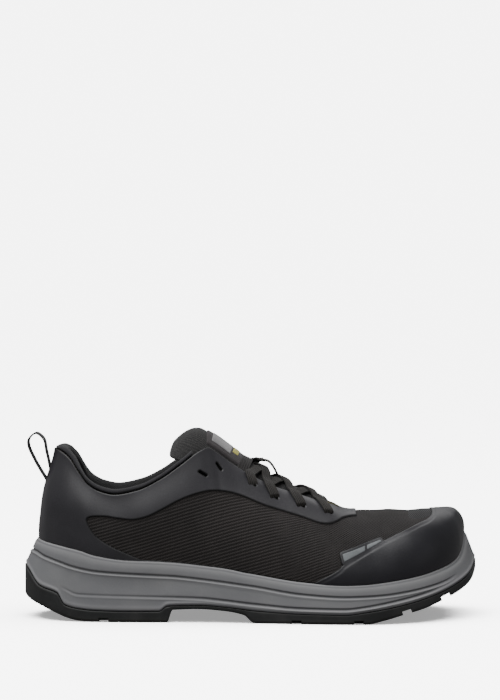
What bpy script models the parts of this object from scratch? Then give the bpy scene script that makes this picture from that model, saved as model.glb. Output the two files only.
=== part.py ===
"""A low black work shoe: a ribbed mesh upper with smooth overlays on a two-part sole.

The toe points along +X, up is +Z, and the outer side of this right shoe faces -Y. Each section is
worked out from the sizes below. The columns of the tables are shares of those sizes."""

from bisect import bisect_right
from collections import namedtuple

import bmesh
import bpy
from mathutils import Vector

# Driving sizes, in metres
LENGTH = 0.300
BALL_WIDTH = 0.110
COLLAR_HEIGHT = 0.112
SOLE_HEIGHT = 0.056

# Walls and clearances, in metres
WALL = 0.0024
FILM = 0.0008
FILM_GAP = 0.00055
RIM = 0.0018
TAPER = 0.0010
GAP = 0.0003
SPLIT_GAP = 0.0005
FOOTBED = 0.0042
COLLAR_PAD = 0.0050
COLLAR_RISE = 0.0037
TONGUE_PAD = 0.0070
TONGUE_SINK = 0.0052
BAND = 0.0012

# Sole details, in metres
EDGE = 0.0022
CREASE = 0.0014
RIDGE = 0.0004
CREASE_HALF = 0.0013
LUG_DEPTH = 0.0025
LUG_CUT = 0.0062
CHANNEL = 0.0070

# Lace sizes, in metres
LACE_WIDTH = 0.0070
LACE_THICK = 0.0014
SLIT_LENGTH = 0.0060
SLIT_WIDTH = 0.0016
SLIT_SLANT = 0.008

FAN_PULL = 0.010
# Places round the sole that the throat's slope is measured between
THROAT_TOP = 0.46
THROAT_FRONT = 0.66
# Places round the sole where the collar and the tongue have their sections
COLLAR_STATIONS = (
    0.0, 0.02, 0.04, 0.065, 0.09, 0.12, 0.15, 0.18, 0.215, 0.25, 0.29, 0.33, 0.36, 0.385,
)
TONGUE_STATIONS = (0.69, 0.66, 0.625, 0.58, 0.53, 0.48, 0.455, 0.433)
# The tongue's tip: how far each section reaches up the slope, and how far it curls down
TONGUE_TIP = (
    (0.0075, -0.0008), (0.0120, -0.0010), (0.0160, 0.0010), (0.0190, 0.0045), (0.0210, 0.0090),
)
# Half the tip's breadth, in points of a section
TIP_HALF = 3.4
LABEL_PLACES = (0.433, 0.445, 0.457, 0.469, 0.481)
LABEL_SHARES = (-0.55, -0.33, -0.11, 0.11, 0.33, 0.55)
KEEPER_PLACE = 0.505
KEEPER_WIDTH = 0.008

# Grooves across the tread: where along the shoe, how high there, and the slope of the ground line
LUG_GROOVES = (
    (0.180, 0.0, 0.0), (0.598, 0.0, 0.0), (0.732, 0.0, 0.0), (0.838, 0.118, 0.28), (0.925, 0.268, 0.42),
)
# Channels along the tread: start, end and distance from the middle
CHANNELS = ((0.10, 0.29, 0.0), (0.52, 0.74, 0.0))

SIDE_STATIONS = 30
# Lace holes: places round the sole, and how far up the rib they lie
EYELETS = (0.520, 0.565, 0.617, 0.667)
EYELET_STEP = 0.885
SPARE_EYELETS = ((0.403, 0.80), (0.443, 0.88))
# The loop that stands over the top crossing: places round the sole and heights over the tongue
BOW = (
    (0.536, 0.0056), (0.541, 0.0066), (0.549, 0.0072),
    (0.558, 0.0066), (0.567, 0.0053), (0.575, 0.0043),
)

# The sole seen from above: how far it reaches to the outer and the inner side
Breadth = namedtuple("Breadth", "along outer inner")
OUTLINE = (
    Breadth(0.010, 0.118, 0.118),
    Breadth(0.035, 0.223, 0.218),
    Breadth(0.085, 0.309, 0.300),
    Breadth(0.160, 0.355, 0.345),
    Breadth(0.250, 0.373, 0.355),
    Breadth(0.360, 0.382, 0.336),
    Breadth(0.460, 0.405, 0.332),
    Breadth(0.560, 0.441, 0.373),
    Breadth(0.660, 0.477, 0.455),
    Breadth(0.740, 0.486, 0.500),
    Breadth(0.820, 0.455, 0.518),
    Breadth(0.890, 0.377, 0.495),
    Breadth(0.945, 0.259, 0.427),
    Breadth(0.980, 0.123, 0.327),
    Breadth(0.996, -0.027, 0.223),
)
TOE_SWING = 0.109

# The sole's side, from the middle of the heel (0) round to the middle of the toe (1)
Side = namedtuple(
    "Side", "around top upper_crease lower_crease split ground floor lean upper_cut lower_cut"
)
SIDES = (
    Side(0.000, 0.927, 0.804, 0.688, 0.612, 0.250, 0.509, 0.143, 1, 0),
    Side(0.040, 0.914, 0.796, 0.643, 0.554, 0.214, 0.509, 0.132, 1, 0),
    Side(0.080, 0.896, 0.750, 0.518, 0.393, 0.161, 0.500, 0.114, 1, 0),
    Side(0.120, 0.864, 0.693, 0.420, 0.321, 0.080, 0.500, 0.096, 1, 0),
    Side(0.135, 0.848, 0.666, 0.375, 0.188, 0.046, 0.500, 0.091, 1, 0.5),
    Side(0.160, 0.818, 0.629, 0.318, 0.148, 0.011, 0.491, 0.086, 1, 1),
    Side(0.190, 0.761, 0.598, 0.312, 0.129, 0.000, 0.482, 0.080, 1, 1),
    Side(0.250, 0.709, 0.573, 0.304, 0.121, 0.000, 0.473, 0.077, 1, 1),
    Side(0.310, 0.696, 0.555, 0.296, 0.123, 0.000, 0.446, 0.075, 1, 1),
    Side(0.325, 0.689, 0.550, 0.293, 0.182, 0.000, 0.436, 0.075, 1, 1),
    Side(0.335, 0.686, 0.546, 0.291, 0.189, 0.146, 0.429, 0.075, 1, 1),
    Side(0.385, 0.654, 0.514, 0.282, 0.196, 0.155, 0.393, 0.075, 1, 1),
    Side(0.430, 0.621, 0.479, 0.257, 0.179, 0.136, 0.357, 0.075, 1, 1),
    Side(0.465, 0.577, 0.450, 0.232, 0.155, 0.093, 0.336, 0.075, 1, 1),
    Side(0.485, 0.557, 0.434, 0.220, 0.141, 0.000, 0.325, 0.075, 1, 1),
    Side(0.570, 0.475, 0.352, 0.179, 0.111, 0.000, 0.277, 0.075, 1, 1),
    Side(0.650, 0.443, 0.323, 0.173, 0.105, 0.000, 0.259, 0.075, 1, 1),
    Side(0.690, 0.452, 0.329, 0.200, 0.136, 0.000, 0.268, 0.077, 1, 1),
    Side(0.725, 0.473, 0.341, 0.239, 0.171, 0.043, 0.293, 0.080, 1, 1),
    Side(0.764, 0.504, 0.368, 0.288, 0.218, 0.107, 0.336, 0.086, 1, 1),
    Side(0.800, 0.537, 0.402, 0.337, 0.271, 0.159, 0.379, 0.093, 1, 1),
    Side(0.850, 0.598, 0.461, 0.414, 0.357, 0.254, 0.443, 0.105, 0.8, 0),
    Side(0.900, 0.671, 0.554, 0.504, 0.454, 0.346, 0.504, 0.116, 0, 0),
    Side(0.950, 0.800, 0.661, 0.604, 0.554, 0.439, 0.554, 0.123, 0, 0),
    Side(1.000, 0.982, 0.804, 0.723, 0.654, 0.525, 0.586, 0.125, 0, 0),
)

# One row for each rib of the upper: where its top end lies, then the pull of its two handles.
# Off is the distance from the centre line. Rise and out belong to the foot of the rib, and
# spread and drop to its top end.
Rib = namedtuple("Rib", "around along centre off height rise out spread drop")
RIBS = (
    Rib(0.000, 0.069, 0.000, 0.000, 0.991, 0.179, 0.007, 0.030, 0.196),
    Rib(0.030, 0.071, 0.000, 0.064, 0.991, 0.179, 0.008, 0.030, 0.196),
    Rib(0.060, 0.078, 0.000, 0.123, 0.987, 0.179, 0.012, 0.032, 0.196),
    Rib(0.090, 0.092, 0.000, 0.164, 0.967, 0.179, 0.017, 0.034, 0.188),
    Rib(0.120, 0.106, 0.000, 0.191, 0.933, 0.170, 0.022, 0.036, 0.179),
    Rib(0.150, 0.123, 0.000, 0.223, 0.866, 0.152, 0.025, 0.032, 0.152),
    Rib(0.180, 0.145, 0.000, 0.250, 0.790, 0.134, 0.027, 0.032, 0.125),
    Rib(0.210, 0.172, 0.000, 0.268, 0.750, 0.125, 0.029, 0.027, 0.116),
    Rib(0.240, 0.203, 0.000, 0.282, 0.734, 0.125, 0.031, 0.027, 0.116),
    Rib(0.280, 0.253, 0.000, 0.291, 0.759, 0.134, 0.032, 0.032, 0.125),
    Rib(0.320, 0.300, 0.000, 0.291, 0.819, 0.161, 0.032, 0.036, 0.143),
    Rib(0.360, 0.345, 0.000, 0.273, 0.902, 0.196, 0.029, 0.045, 0.179),
    Rib(0.400, 0.387, 0.000, 0.236, 0.985, 0.232, 0.027, 0.064, 0.205),
    Rib(0.420, 0.404, 0.000, 0.205, 1.004, 0.250, 0.027, 0.082, 0.196),
    Rib(0.440, 0.420, 0.000, 0.182, 0.978, 0.250, 0.027, 0.100, 0.179),
    Rib(0.480, 0.457, 0.003, 0.171, 0.905, 0.241, 0.027, 0.118, 0.143),
    Rib(0.530, 0.503, 0.007, 0.166, 0.830, 0.223, 0.027, 0.132, 0.116),
    Rib(0.580, 0.550, 0.014, 0.159, 0.768, 0.196, 0.027, 0.136, 0.089),
    Rib(0.630, 0.607, 0.020, 0.145, 0.717, 0.170, 0.027, 0.145, 0.067),
    Rib(0.670, 0.653, 0.027, 0.123, 0.674, 0.161, 0.027, 0.164, 0.045),
    Rib(0.700, 0.688, 0.033, 0.073, 0.643, 0.161, 0.027, 0.182, 0.031),
    Rib(0.720, 0.703, 0.036, 0.000, 0.629, 0.170, 0.027, 0.200, 0.027),
    Rib(0.760, 0.737, 0.044, 0.000, 0.625, 0.179, 0.027, 0.227, 0.018),
    Rib(0.800, 0.777, 0.055, 0.000, 0.627, 0.196, 0.027, 0.245, 0.009),
    Rib(0.850, 0.823, 0.068, 0.000, 0.634, 0.196, 0.024, 0.236, 0.003),
    Rib(0.900, 0.853, 0.082, 0.000, 0.641, 0.196, 0.020, 0.209, -0.003),
    Rib(0.950, 0.870, 0.093, 0.000, 0.645, 0.170, 0.015, 0.182, -0.009),
    Rib(1.000, 0.873, 0.095, 0.000, 0.646, 0.116, 0.011, 0.173, -0.013),
)
RIB_STEPS = (0.12, 0.26, 0.40, 0.54, 0.67, 0.78, 0.87, 0.94, 1.0)

# How far the tongue stands above the line between the two edges of the throat
Crown = namedtuple("Crown", "around rise")
CROWNS = (
    Crown(0.42, 0.071),
    Crown(0.48, 0.071),
    Crown(0.53, 0.058),
    Crown(0.58, 0.045),
    Crown(0.63, 0.031),
    Crown(0.67, 0.022),
    Crown(0.70, 0.013),
)

# Side views of the panels: places along the shoe and heights above the ground
Corner = namedtuple("Corner", "along height")
MESH_WINDOW = (
    Corner(0.144, 0.598), Corner(0.177, 0.611), Corner(0.211, 0.600), Corner(0.244, 0.594),
    Corner(0.277, 0.615), Corner(0.311, 0.660), Corner(0.344, 0.707), Corner(0.378, 0.741),
    Corner(0.411, 0.759), Corner(0.444, 0.753), Corner(0.478, 0.729), Corner(0.527, 0.675),
    Corner(0.567, 0.640), Corner(0.611, 0.604), Corner(0.656, 0.580), Corner(0.678, 0.580),
    Corner(0.703, 0.614), Corner(0.734, 0.622), Corner(0.736, 0.900), Corner(1.100, 0.900),
    Corner(1.100, 0.100), Corner(0.277, 0.100), Corner(0.277, 0.351), Corner(0.266, 0.357),
    Corner(0.233, 0.393), Corner(0.199, 0.434), Corner(0.177, 0.469), Corner(0.159, 0.509),
)
BEHIND_TOE_CAP = (
    Corner(0.640, 0.100), Corner(0.640, 0.233), Corner(0.656, 0.263), Corner(0.678, 0.293),
    Corner(0.700, 0.328), Corner(0.712, 0.358), Corner(0.801, 0.470), Corner(0.804, 0.487),
    Corner(0.834, 0.518), Corner(0.856, 0.546), Corner(0.879, 0.570), Corner(0.901, 0.592),
    Corner(0.910, 0.610), Corner(0.912, 0.626), Corner(0.907, 0.640), Corner(0.907, 1.200),
    Corner(-0.100, 1.200), Corner(-0.100, 0.100),
)
REFLECTOR = (
    Corner(0.712, 0.366), Corner(0.797, 0.473), Corner(0.793, 0.487), Corner(0.708, 0.414),
)

# The pull loop's path behind the heel, seen from the side
PULL_LOOP = (
    Corner(0.0455, 0.806), Corner(0.0415, 0.836), Corner(0.0324, 0.876), Corner(0.0205, 0.930),
    Corner(0.0085, 1.004), Corner(0.0095, 1.044), Corner(0.0250, 1.080), Corner(0.0420, 1.046),
    Corner(0.0480, 0.975), Corner(0.0520, 0.915), Corner(0.0530, 0.880),
)
PULL_WIDTH = 0.013


def read(table, column, around):
    """A table's column at a place between rows, on a smooth line that is level at both ends."""
    places = [row.around for row in table]
    values = [getattr(row, column) for row in table]
    slopes = [
        (values[i + 1] - values[i]) / (places[i + 1] - places[i]) for i in range(len(values) - 1)
    ]
    k = min(max(bisect_right(places, around) - 1, 0), len(slopes) - 1)

    def tangent(i):
        if i == 0 or i == len(slopes):
            return 0.0
        before, after = slopes[i - 1], slopes[i]
        return 0.0 if before * after <= 0 else 2 * before * after / (before + after)

    width = places[k + 1] - places[k]
    s = (around - places[k]) / width
    start = (1 + 2 * s) * (1 - s) ** 2 * values[k] + s * (1 - s) ** 2 * width * tangent(k)
    end = s * s * (3 - 2 * s) * values[k + 1] + s * s * (s - 1) * width * tangent(k + 1)
    return start + end


def smooth_line(points, steps, closed=False):
    """Points on a smooth line through the given ones, spaced by the roots of their distances."""
    count = len(points)
    line = []
    for i in range(count if closed else count - 1):
        if closed:
            a, b, c, d = (points[(i + k) % count] for k in (-1, 0, 1, 2))
        else:
            a, b, c, d = (points[min(max(i + k, 0), count - 1)] for k in (-1, 0, 1, 2))
        before = max((b - a).length ** 0.5, 1e-6)
        between = max((c - b).length ** 0.5, 1e-6)
        after = max((d - c).length ** 0.5, 1e-6)
        leave = ((b - a) / before - (c - a) / (before + between) + (c - b) / between) * between
        arrive = ((c - b) / between - (d - b) / (between + after) + (d - c) / after) * between
        for step in range(steps):
            s = step / steps
            line.append(
                (2 * s**3 - 3 * s**2 + 1) * b + (s**3 - 2 * s**2 + s) * leave
                + (3 * s**2 - 2 * s**3) * c + (s**3 - s**2) * arrive
            )
    if not closed:
        line.append(points[-1].copy())
    return line


def sole_edges():
    """The sole's outer and inner edge seen from above, each as points with their share round it."""
    outer = [Vector((row.along * LENGTH, -row.outer * BALL_WIDTH, 0)) for row in OUTLINE]
    inner = [Vector((row.along * LENGTH, row.inner * BALL_WIDTH, 0)) for row in OUTLINE]
    toe = Vector((LENGTH, TOE_SWING * BALL_WIDTH, 0))
    loop = smooth_line([Vector((0, 0, 0)), *outer, toe, *reversed(inner)], 24, closed=True)
    widths = [point.y for point in loop]
    middle = Vector((LENGTH / 2, (max(widths) + min(widths)) / 2, 0))
    loop = [point - middle for point in loop]
    half = 24 * (len(OUTLINE) + 1)
    edges = []
    for edge in (loop[:half + 1], [loop[0], *reversed(loop[half:])]):
        reach = [0.0]
        for start, end in zip(edge, edge[1:]):
            reach.append(reach[-1] + (end - start).length)
        edges.append((edge, [distance / reach[-1] for distance in reach]))
    return edges, middle.y


EDGES, MIDDLE_Y = sole_edges()
OUTER, INNER = 0, 1


def edge_point(side, around, inset=0.0):
    """A point on the sole's edge seen from above, moved inwards, and its outward direction."""
    points, reach = EDGES[side]
    k = min(max(bisect_right(reach, around) - 1, 0), len(points) - 2)
    share = (around - reach[k]) / (reach[k + 1] - reach[k])
    place = points[k].lerp(points[k + 1], share)
    if around in (0.0, 1.0):
        outward = Vector((-1.0 if around == 0.0 else 1.0, 0, 0))
    else:
        before = points[max(k - 1, 0)]
        run = points[min(k + 2, len(points) - 1)] - before
        outward = Vector((run.y, -run.x, 0)).normalized() * (1 if side == OUTER else -1)
    return place - outward * inset, outward


def stations():
    """Places round one side of the sole. The heel's breast has two of them close together."""
    even = [i / SIDE_STATIONS for i in range(SIDE_STATIONS + 1)]
    return sorted([place for place in even if abs(place - 0.33) > 0.012] + [0.326, 0.335, 0.715])


STATIONS = stations()


def all_round():
    """Every station of the closed loop: the outer side from heel to toe, then the inner side."""
    outer = [(OUTER, place) for place in STATIONS]
    return outer + [(INNER, place) for place in reversed(STATIONS[1:-1])]


def side_value(column, around):
    return read(SIDES, column, around)


def ring(inset, height):
    """One ring round the sole from two functions of the place."""
    points = []
    for side, around in all_round():
        place, _ = edge_point(side, around, inset(around))
        points.append(Vector((place.x, place.y, height(around))))
    return points


def wall_inset(around, height):
    """How far the sole's wall leans in at a height above the ground."""
    split = side_value("split", around) * SOLE_HEIGHT
    top = side_value("top", around) * SOLE_HEIGHT
    share = min(max((height - split) / (top - split), 0.0), 1.0)
    return side_value("lean", around) * SOLE_HEIGHT * share


def level(column, extra=0.0):
    return lambda around: side_value(column, around) * SOLE_HEIGHT + extra


def lean(extra=0.0):
    return lambda around: side_value("lean", around) * SOLE_HEIGHT + extra


def crease_rings(crease, cut):
    """Three rings that make one long crease in the sole's wall, with a ridge below it."""
    rings = []
    for height, depth in ((-CREASE_HALF, -RIDGE), (0.0, CREASE), (CREASE_HALF, 0.0)):
        place = level(crease, height)

        def inset(around, place=place, depth=depth):
            return wall_inset(around, place(around)) + depth * side_value(cut, around)

        rings.append(ring(inset, place))
    return rings


def loft(rings):
    """A solid through closed rings. Its two ends are strips straight across the shoe."""
    mesh = bmesh.new()
    rows = [[mesh.verts.new(point) for point in points] for points in rings]
    count = len(rows[0])
    for low, high in zip(rows, rows[1:]):
        for i in range(count):
            j = (i + 1) % count
            mesh.faces.new((low[i], low[j], high[j], high[i]))
    for row in (rows[0], rows[-1]):
        for i in range(count // 2):
            corners = (row[i], row[i + 1], row[count - i - 1], row[-i])
            mesh.faces.new(list(dict.fromkeys(corners)))
    bmesh.ops.recalc_face_normals(mesh, faces=mesh.faces)
    return mesh


def rib_handles(side, around):
    """The four control points of a rib's curve, from the sole's rim to the rib's top end."""
    up = Vector((0, 0, 1))
    foot, outward = edge_point(side, around, lean(RIM + GAP)(around))
    foot.z = level("top", 2 * GAP)(around)
    row = {name: read(RIBS, name, around) for name in Rib._fields[1:]}
    off = row["off"] * BALL_WIDTH * (-1 if side == OUTER else 1)
    end = Vector((
        (row["along"] - 0.5) * LENGTH,
        row["centre"] * BALL_WIDTH - MIDDLE_Y + off,
        row["height"] * COLLAR_HEIGHT,
    ))
    away = foot - end + outward * FAN_PULL
    away.z = 0
    rise = outward * row["out"] * BALL_WIDTH + up * row["rise"] * COLLAR_HEIGHT
    spread = away.normalized() * row["spread"] * BALL_WIDTH - up * row["drop"] * COLLAR_HEIGHT
    return foot, foot + rise, end + spread, end


def rib_point(side, around, step):
    """A point on the upper's outer face. Places past either end carry on along the other side."""
    if around < 0.0 or around > 1.0:
        side = INNER if side == OUTER else OUTER
        around = -around if around < 0.0 else 2.0 - around
    a, b, c, d = rib_handles(side, around)
    rest = 1.0 - step
    return rest**3 * a + 3 * rest**2 * step * b + 3 * rest * step**2 * c + step**3 * d


def on_upper(side, around, step, distance):
    """A point off the upper's outer face, and the face's outward normal there."""
    place = rib_point(side, around, step)
    ahead = rib_point(side, around + 0.004, step) - rib_point(side, around - 0.004, step)
    rise = rib_point(side, around, min(step + 0.02, 1.0)) - rib_point(side, around, step - 0.02)
    normal = ahead.cross(rise).normalized() * (1 if side == OUTER else -1)
    return place + normal * distance, normal


def rib(side, around):
    """A whole rib: its lower end inside the sole's rim, then the points of its curve."""
    low, _ = edge_point(side, around, lean(RIM + GAP + TAPER)(around))
    low.z = level("floor", GAP)(around)
    return [low, *(rib_point(side, around, step) for step in (0.0, *RIB_STEPS))]


def sheet(columns, closed, distance=0.0):
    """An open surface through columns of points, moved outwards along its own normals."""
    mesh = bmesh.new()
    welded = {}
    grid = []
    for column in columns:
        grid.append([])
        for point in column:
            key = tuple(round(value, 6) for value in point)
            if key not in welded:
                welded[key] = mesh.verts.new(point)
            grid[-1].append(welded[key])
    pairs = list(zip(grid, grid[1:])) + ([(grid[-1], grid[0])] if closed else [])
    for left, right in pairs:
        for k in range(len(left) - 1):
            corners = (left[k], right[k], right[k + 1], left[k + 1])
            mesh.faces.new(list(dict.fromkeys(corners)))
    mesh.normal_update()
    moved = [(vertex, vertex.co + vertex.normal * distance) for vertex in mesh.verts]
    for vertex, place in moved:
        vertex.co = place
    return mesh


def tube(sections):
    """A solid through sections that are closed rings of points, with flat ends."""
    mesh = bmesh.new()
    rows = [[mesh.verts.new(point) for point in section] for section in sections]
    count = len(rows[0])
    for near, far in zip(rows, rows[1:]):
        for i in range(count):
            j = (i + 1) % count
            mesh.faces.new((near[i], near[j], far[j], far[i]))
    mesh.faces.new(rows[0])
    mesh.faces.new(rows[-1])
    bmesh.ops.recalc_face_normals(mesh, faces=mesh.faces)
    return mesh


def band(points, normals, width, thickness):
    """A flat band along a line. Each point comes with the direction that the band faces."""
    sections = []
    for i, point in enumerate(points):
        ahead = points[min(i + 1, len(points) - 1)] - points[max(i - 1, 0)]
        side = ahead.cross(normals[i]).normalized() * (width / 2)
        face = side.cross(ahead).normalized() * (thickness / 2)
        sections.append((point + side + face, point - side + face, point - side - face,
                         point + side - face))
    return tube(sections)


def box(centre, size, turn_x, turn_z, normal):
    """A block whose first two sides lie along two directions and the third along the normal."""
    mesh = bmesh.new()
    corners = []
    for a, b, c in ((-1, -1, -1), (1, -1, -1), (1, 1, -1), (-1, 1, -1),
                    (-1, -1, 1), (1, -1, 1), (1, 1, 1), (-1, 1, 1)):
        shift = turn_x * a * size[0] / 2 + turn_z * b * size[1] / 2 + normal * c * size[2] / 2
        corners.append(mesh.verts.new(centre + shift))
    for face in ((0, 1, 2, 3), (4, 5, 6, 7), (0, 1, 5, 4), (1, 2, 6, 5), (2, 3, 7, 6), (3, 0, 4, 7)):
        mesh.faces.new([corners[i] for i in face])
    bmesh.ops.recalc_face_normals(mesh, faces=mesh.faces)
    return mesh


def prism(corners, near, far):
    """A block with the given outline in side view, from one place across the shoe to another."""
    mesh = bmesh.new()
    places = [((corner.along - 0.5) * LENGTH, corner.height * COLLAR_HEIGHT) for corner in corners]
    left = [mesh.verts.new((x, near, z)) for x, z in places]
    right = [mesh.verts.new((x, far, z)) for x, z in places]
    mesh.faces.new(left)
    mesh.faces.new(right)
    for i in range(len(places)):
        j = (i + 1) % len(places)
        mesh.faces.new((left[i], left[j], right[j], right[i]))
    bmesh.ops.recalc_face_normals(mesh, faces=mesh.faces)
    return mesh


def make_material(name, colour, roughness):
    material = bpy.data.materials.new(name)
    material.use_nodes = True
    shader = material.node_tree.nodes["Principled BSDF"]
    shader.inputs["Base Color"].default_value = (*colour, 1.0)
    shader.inputs["Roughness"].default_value = roughness
    return material


def make_collection(name, hidden=False):
    collection = bpy.data.collections.new(name)
    collection.hide_render = hidden
    bpy.context.scene.collection.children.link(collection)
    return collection


def make_object(name, mesh, collection, material=None):
    data = bpy.data.meshes.new(name)
    mesh.to_mesh(data)
    mesh.free()
    if material:
        data.materials.append(material)
    made = bpy.data.objects.new(name, data)
    collection.objects.link(made)
    return made


def make_cutter(name, mesh, cutters):
    cutter = make_object(name, mesh, cutters)
    cutter.hide_render = True
    cutter.display_type = "WIRE"
    return cutter


def thicken(made, thickness, offset):
    modifier = made.modifiers.new("wall", "SOLIDIFY")
    modifier.thickness = thickness
    modifier.offset = offset
    modifier.use_even_offset = True


def combine(made, other, operation):
    modifier = made.modifiers.new(other.name, "BOOLEAN")
    modifier.operation = operation
    modifier.solver = "EXACT"
    modifier.object = other


def build_outsole(shoe, cutters):
    rubber = make_material("outsole_rubber", (0.022, 0.023, 0.024), 0.75)

    def edge_height(around):
        ground = level("ground")(around)
        return ground + min(EDGE, 0.5 * (level("split")(around) - ground))

    mesh = loft((
        ring(lambda around: EDGE, level("ground")),
        ring(lambda around: EDGE * 0.15, edge_height),
        ring(lambda around: 0.0, level("split")),
    ))
    outsole = make_object("outsole", mesh, shoe, rubber)
    forward, across, up = Vector((1, 0, 0)), Vector((0, 1, 0)), Vector((0, 0, 1))
    for number, (along, height, tilt) in enumerate(LUG_GROOVES):
        run = (forward + up * tilt).normalized()
        centre = Vector(((along - 0.5) * LENGTH, 0, height * SOLE_HEIGHT))
        size = (LUG_CUT, 2 * BALL_WIDTH, 2 * LUG_DEPTH)
        block = box(centre, size, run, across, run.cross(across))
        combine(outsole, make_cutter(f"lug_groove_{number}", block, cutters), "DIFFERENCE")
    for number, (start, end, off) in enumerate(CHANNELS):
        centre = Vector((((start + end) / 2 - 0.5) * LENGTH, off * BALL_WIDTH, 0))
        size = ((end - start) * LENGTH, CHANNEL, 1.6 * LUG_DEPTH)
        block = box(centre, size, forward, across, up)
        combine(outsole, make_cutter(f"channel_{number}", block, cutters), "DIFFERENCE")
    return outsole


def build_midsole(shoe):
    foam = make_material("midsole_foam", (0.14, 0.14, 0.14), 0.7)
    shoulder = level("top", -0.7 * RIM)
    mesh = loft((
        ring(lambda around: 0.0, level("split", SPLIT_GAP)),
        *crease_rings("lower_crease", "lower_cut"),
        *crease_rings("upper_crease", "upper_cut"),
        ring(lambda around: wall_inset(around, shoulder(around)), shoulder),
        ring(lean(0.35 * RIM), level("top")),
        ring(lean(RIM), level("top")),
        ring(lean(RIM + TAPER), level("floor")),
    ))
    return make_object("midsole", mesh, shoe, foam)


def build_insole(shoe):
    board = make_material("insole_fabric", (0.03, 0.03, 0.035), 0.9)
    inset = RIM + GAP + TAPER + WALL + 2 * GAP
    mesh = loft((
        ring(lean(inset), level("floor", GAP)),
        ring(lean(inset), level("floor", GAP + 0.8 * FOOTBED)),
        ring(lean(inset + 0.2 * FOOTBED), level("floor", GAP + FOOTBED)),
    ))
    return make_object("insole", mesh, shoe, board)


def build_upper(shoe, slits):
    mesh_fabric = make_material("upper_mesh", (0.02, 0.02, 0.02), 0.85)
    columns = [rib(side, around) for side, around in all_round()]
    upper = make_object("upper", sheet(columns, closed=True), shoe, mesh_fabric)
    thicken(upper, WALL, -1.0)
    for slit in slits:
        combine(upper, slit, "DIFFERENCE")
    return upper


def overlay(name, shoe, material):
    """A thin shell just outside the upper, to be trimmed to the outline of one panel."""
    columns = [rib(side, around)[1:] for side, around in all_round()]
    made = make_object(name, sheet(columns, closed=True, distance=FILM_GAP), shoe, material)
    thicken(made, FILM, 1.0)
    return made


def build_overlays(shoe, cutters, slits):
    film_skin = make_material("quarter_film", (0.024, 0.023, 0.029), 0.45)
    cap_skin = make_material("toe_cap_skin", (0.018, 0.017, 0.022), 0.35)
    grey = make_material("reflective_tape", (0.15, 0.17, 0.18), 0.4)
    film = overlay("quarter_film", shoe, film_skin)
    window = prism(MESH_WINDOW, -BALL_WIDTH, BALL_WIDTH)
    combine(film, make_cutter("mesh_window", window, cutters), "DIFFERENCE")
    for slit in slits:
        combine(film, slit, "DIFFERENCE")
    cap = overlay("toe_cap", shoe, cap_skin)
    behind = prism(BEHIND_TOE_CAP, -BALL_WIDTH, BALL_WIDTH)
    combine(cap, make_cutter("behind_toe_cap", behind, cutters), "DIFFERENCE")
    for name, near, far in (("outer", -BALL_WIDTH, -WALL), ("inner", WALL, BALL_WIDTH)):
        patch = overlay(f"reflector_{name}", shoe, grey)
        outline = prism(REFLECTOR, near, far)
        combine(patch, make_cutter(f"reflector_outline_{name}", outline, cutters), "INTERSECT")


def build_collar(shoe):
    """The padded roll round the ankle: it hugs the upper's inside and rolls over its edge."""
    lining = make_material("collar_lining", (0.018, 0.018, 0.02), 0.9)
    steps = (0.67, 0.78, 0.87, 0.94, 1.0)
    up = Vector((0, 0, 1))
    places = [(INNER, place) for place in reversed(COLLAR_STATIONS[1:])]
    places += [(OUTER, place) for place in COLLAR_STATIONS]
    sections = []
    for side, around in places:
        skin = [on_upper(side, around, step, -(WALL + 2 * GAP))[0] for step in steps]
        pad = [on_upper(side, around, step, -(WALL + 2 * GAP + COLLAR_PAD))[0] for step in steps]
        pad[0] = skin[0].lerp(pad[0], 0.4)
        edge, normal = on_upper(side, around, 1.0, 0.0)
        out = Vector((normal.x, normal.y, 0)).normalized()
        lip = [
            edge - out * (WALL + 2 * GAP) + up * 2 * GAP,
            edge - out * GAP + up * (2 * GAP + 0.7 * FILM),
            edge - out * GAP + up * COLLAR_RISE * 0.75,
            edge - out * 0.45 * COLLAR_PAD + up * COLLAR_RISE,
            edge - out * 1.1 * COLLAR_PAD + up * COLLAR_RISE * 0.8,
        ]
        sections.append([*skin, *lip, *reversed(pad)])
    return make_object("collar", tube(sections), shoe, lining)


def throat_run():
    """The direction from the front of the sloping throat to its top."""
    return (rib_point(OUTER, THROAT_TOP, 1.0) - rib_point(OUTER, THROAT_FRONT, 1.0)).normalized()


def throat_up():
    """The direction that points straight out of the sloping throat."""
    return Vector((0, 1, 0)).cross(throat_run()).normalized()


def over_tongue(place, share, lift=0.0, sink=TONGUE_SINK):
    """A point above the tongue: share runs from -1 at the outer edge of the throat to 1."""
    outer = rib_point(OUTER, place, 1.0)
    inner = rib_point(INNER, place, 1.0)
    rise = read(CROWNS, "rise", place) * COLLAR_HEIGHT * (1 - share * share)
    height = rise - sink * share * share + lift
    return outer.lerp(inner, (share + 1) / 2) + throat_up() * height


def tongue_sections():
    """The tongue's top face: it lies under the facings and bulges up between them."""
    steps = (0.67, 0.78, 0.87, 0.94)
    shares = (-0.95, -0.65, -0.33, 0.0, 0.33, 0.65, 0.95)
    under = -(WALL + 4 * GAP)
    sections = []
    for place in TONGUE_STATIONS:
        outer = [on_upper(OUTER, place, step, under)[0] for step in steps]
        inner = [on_upper(INNER, place, step, under)[0] for step in reversed(steps)]
        sections.append(outer + [over_tongue(place, share) for share in shares] + inner)
    back = throat_run()
    middle = (len(sections[0]) - 1) / 2
    for reach, dip in TONGUE_TIP:
        section = []
        for i, point in enumerate(sections[len(TONGUE_STATIONS) - 1]):
            share = max(0.0, 1.0 - (abs(i - middle) / TIP_HALF) ** 2)
            section.append(point + (back * reach - throat_up() * dip) * share
                           + back * 0.08 * reach)
        sections.append(section)
    return sections


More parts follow.
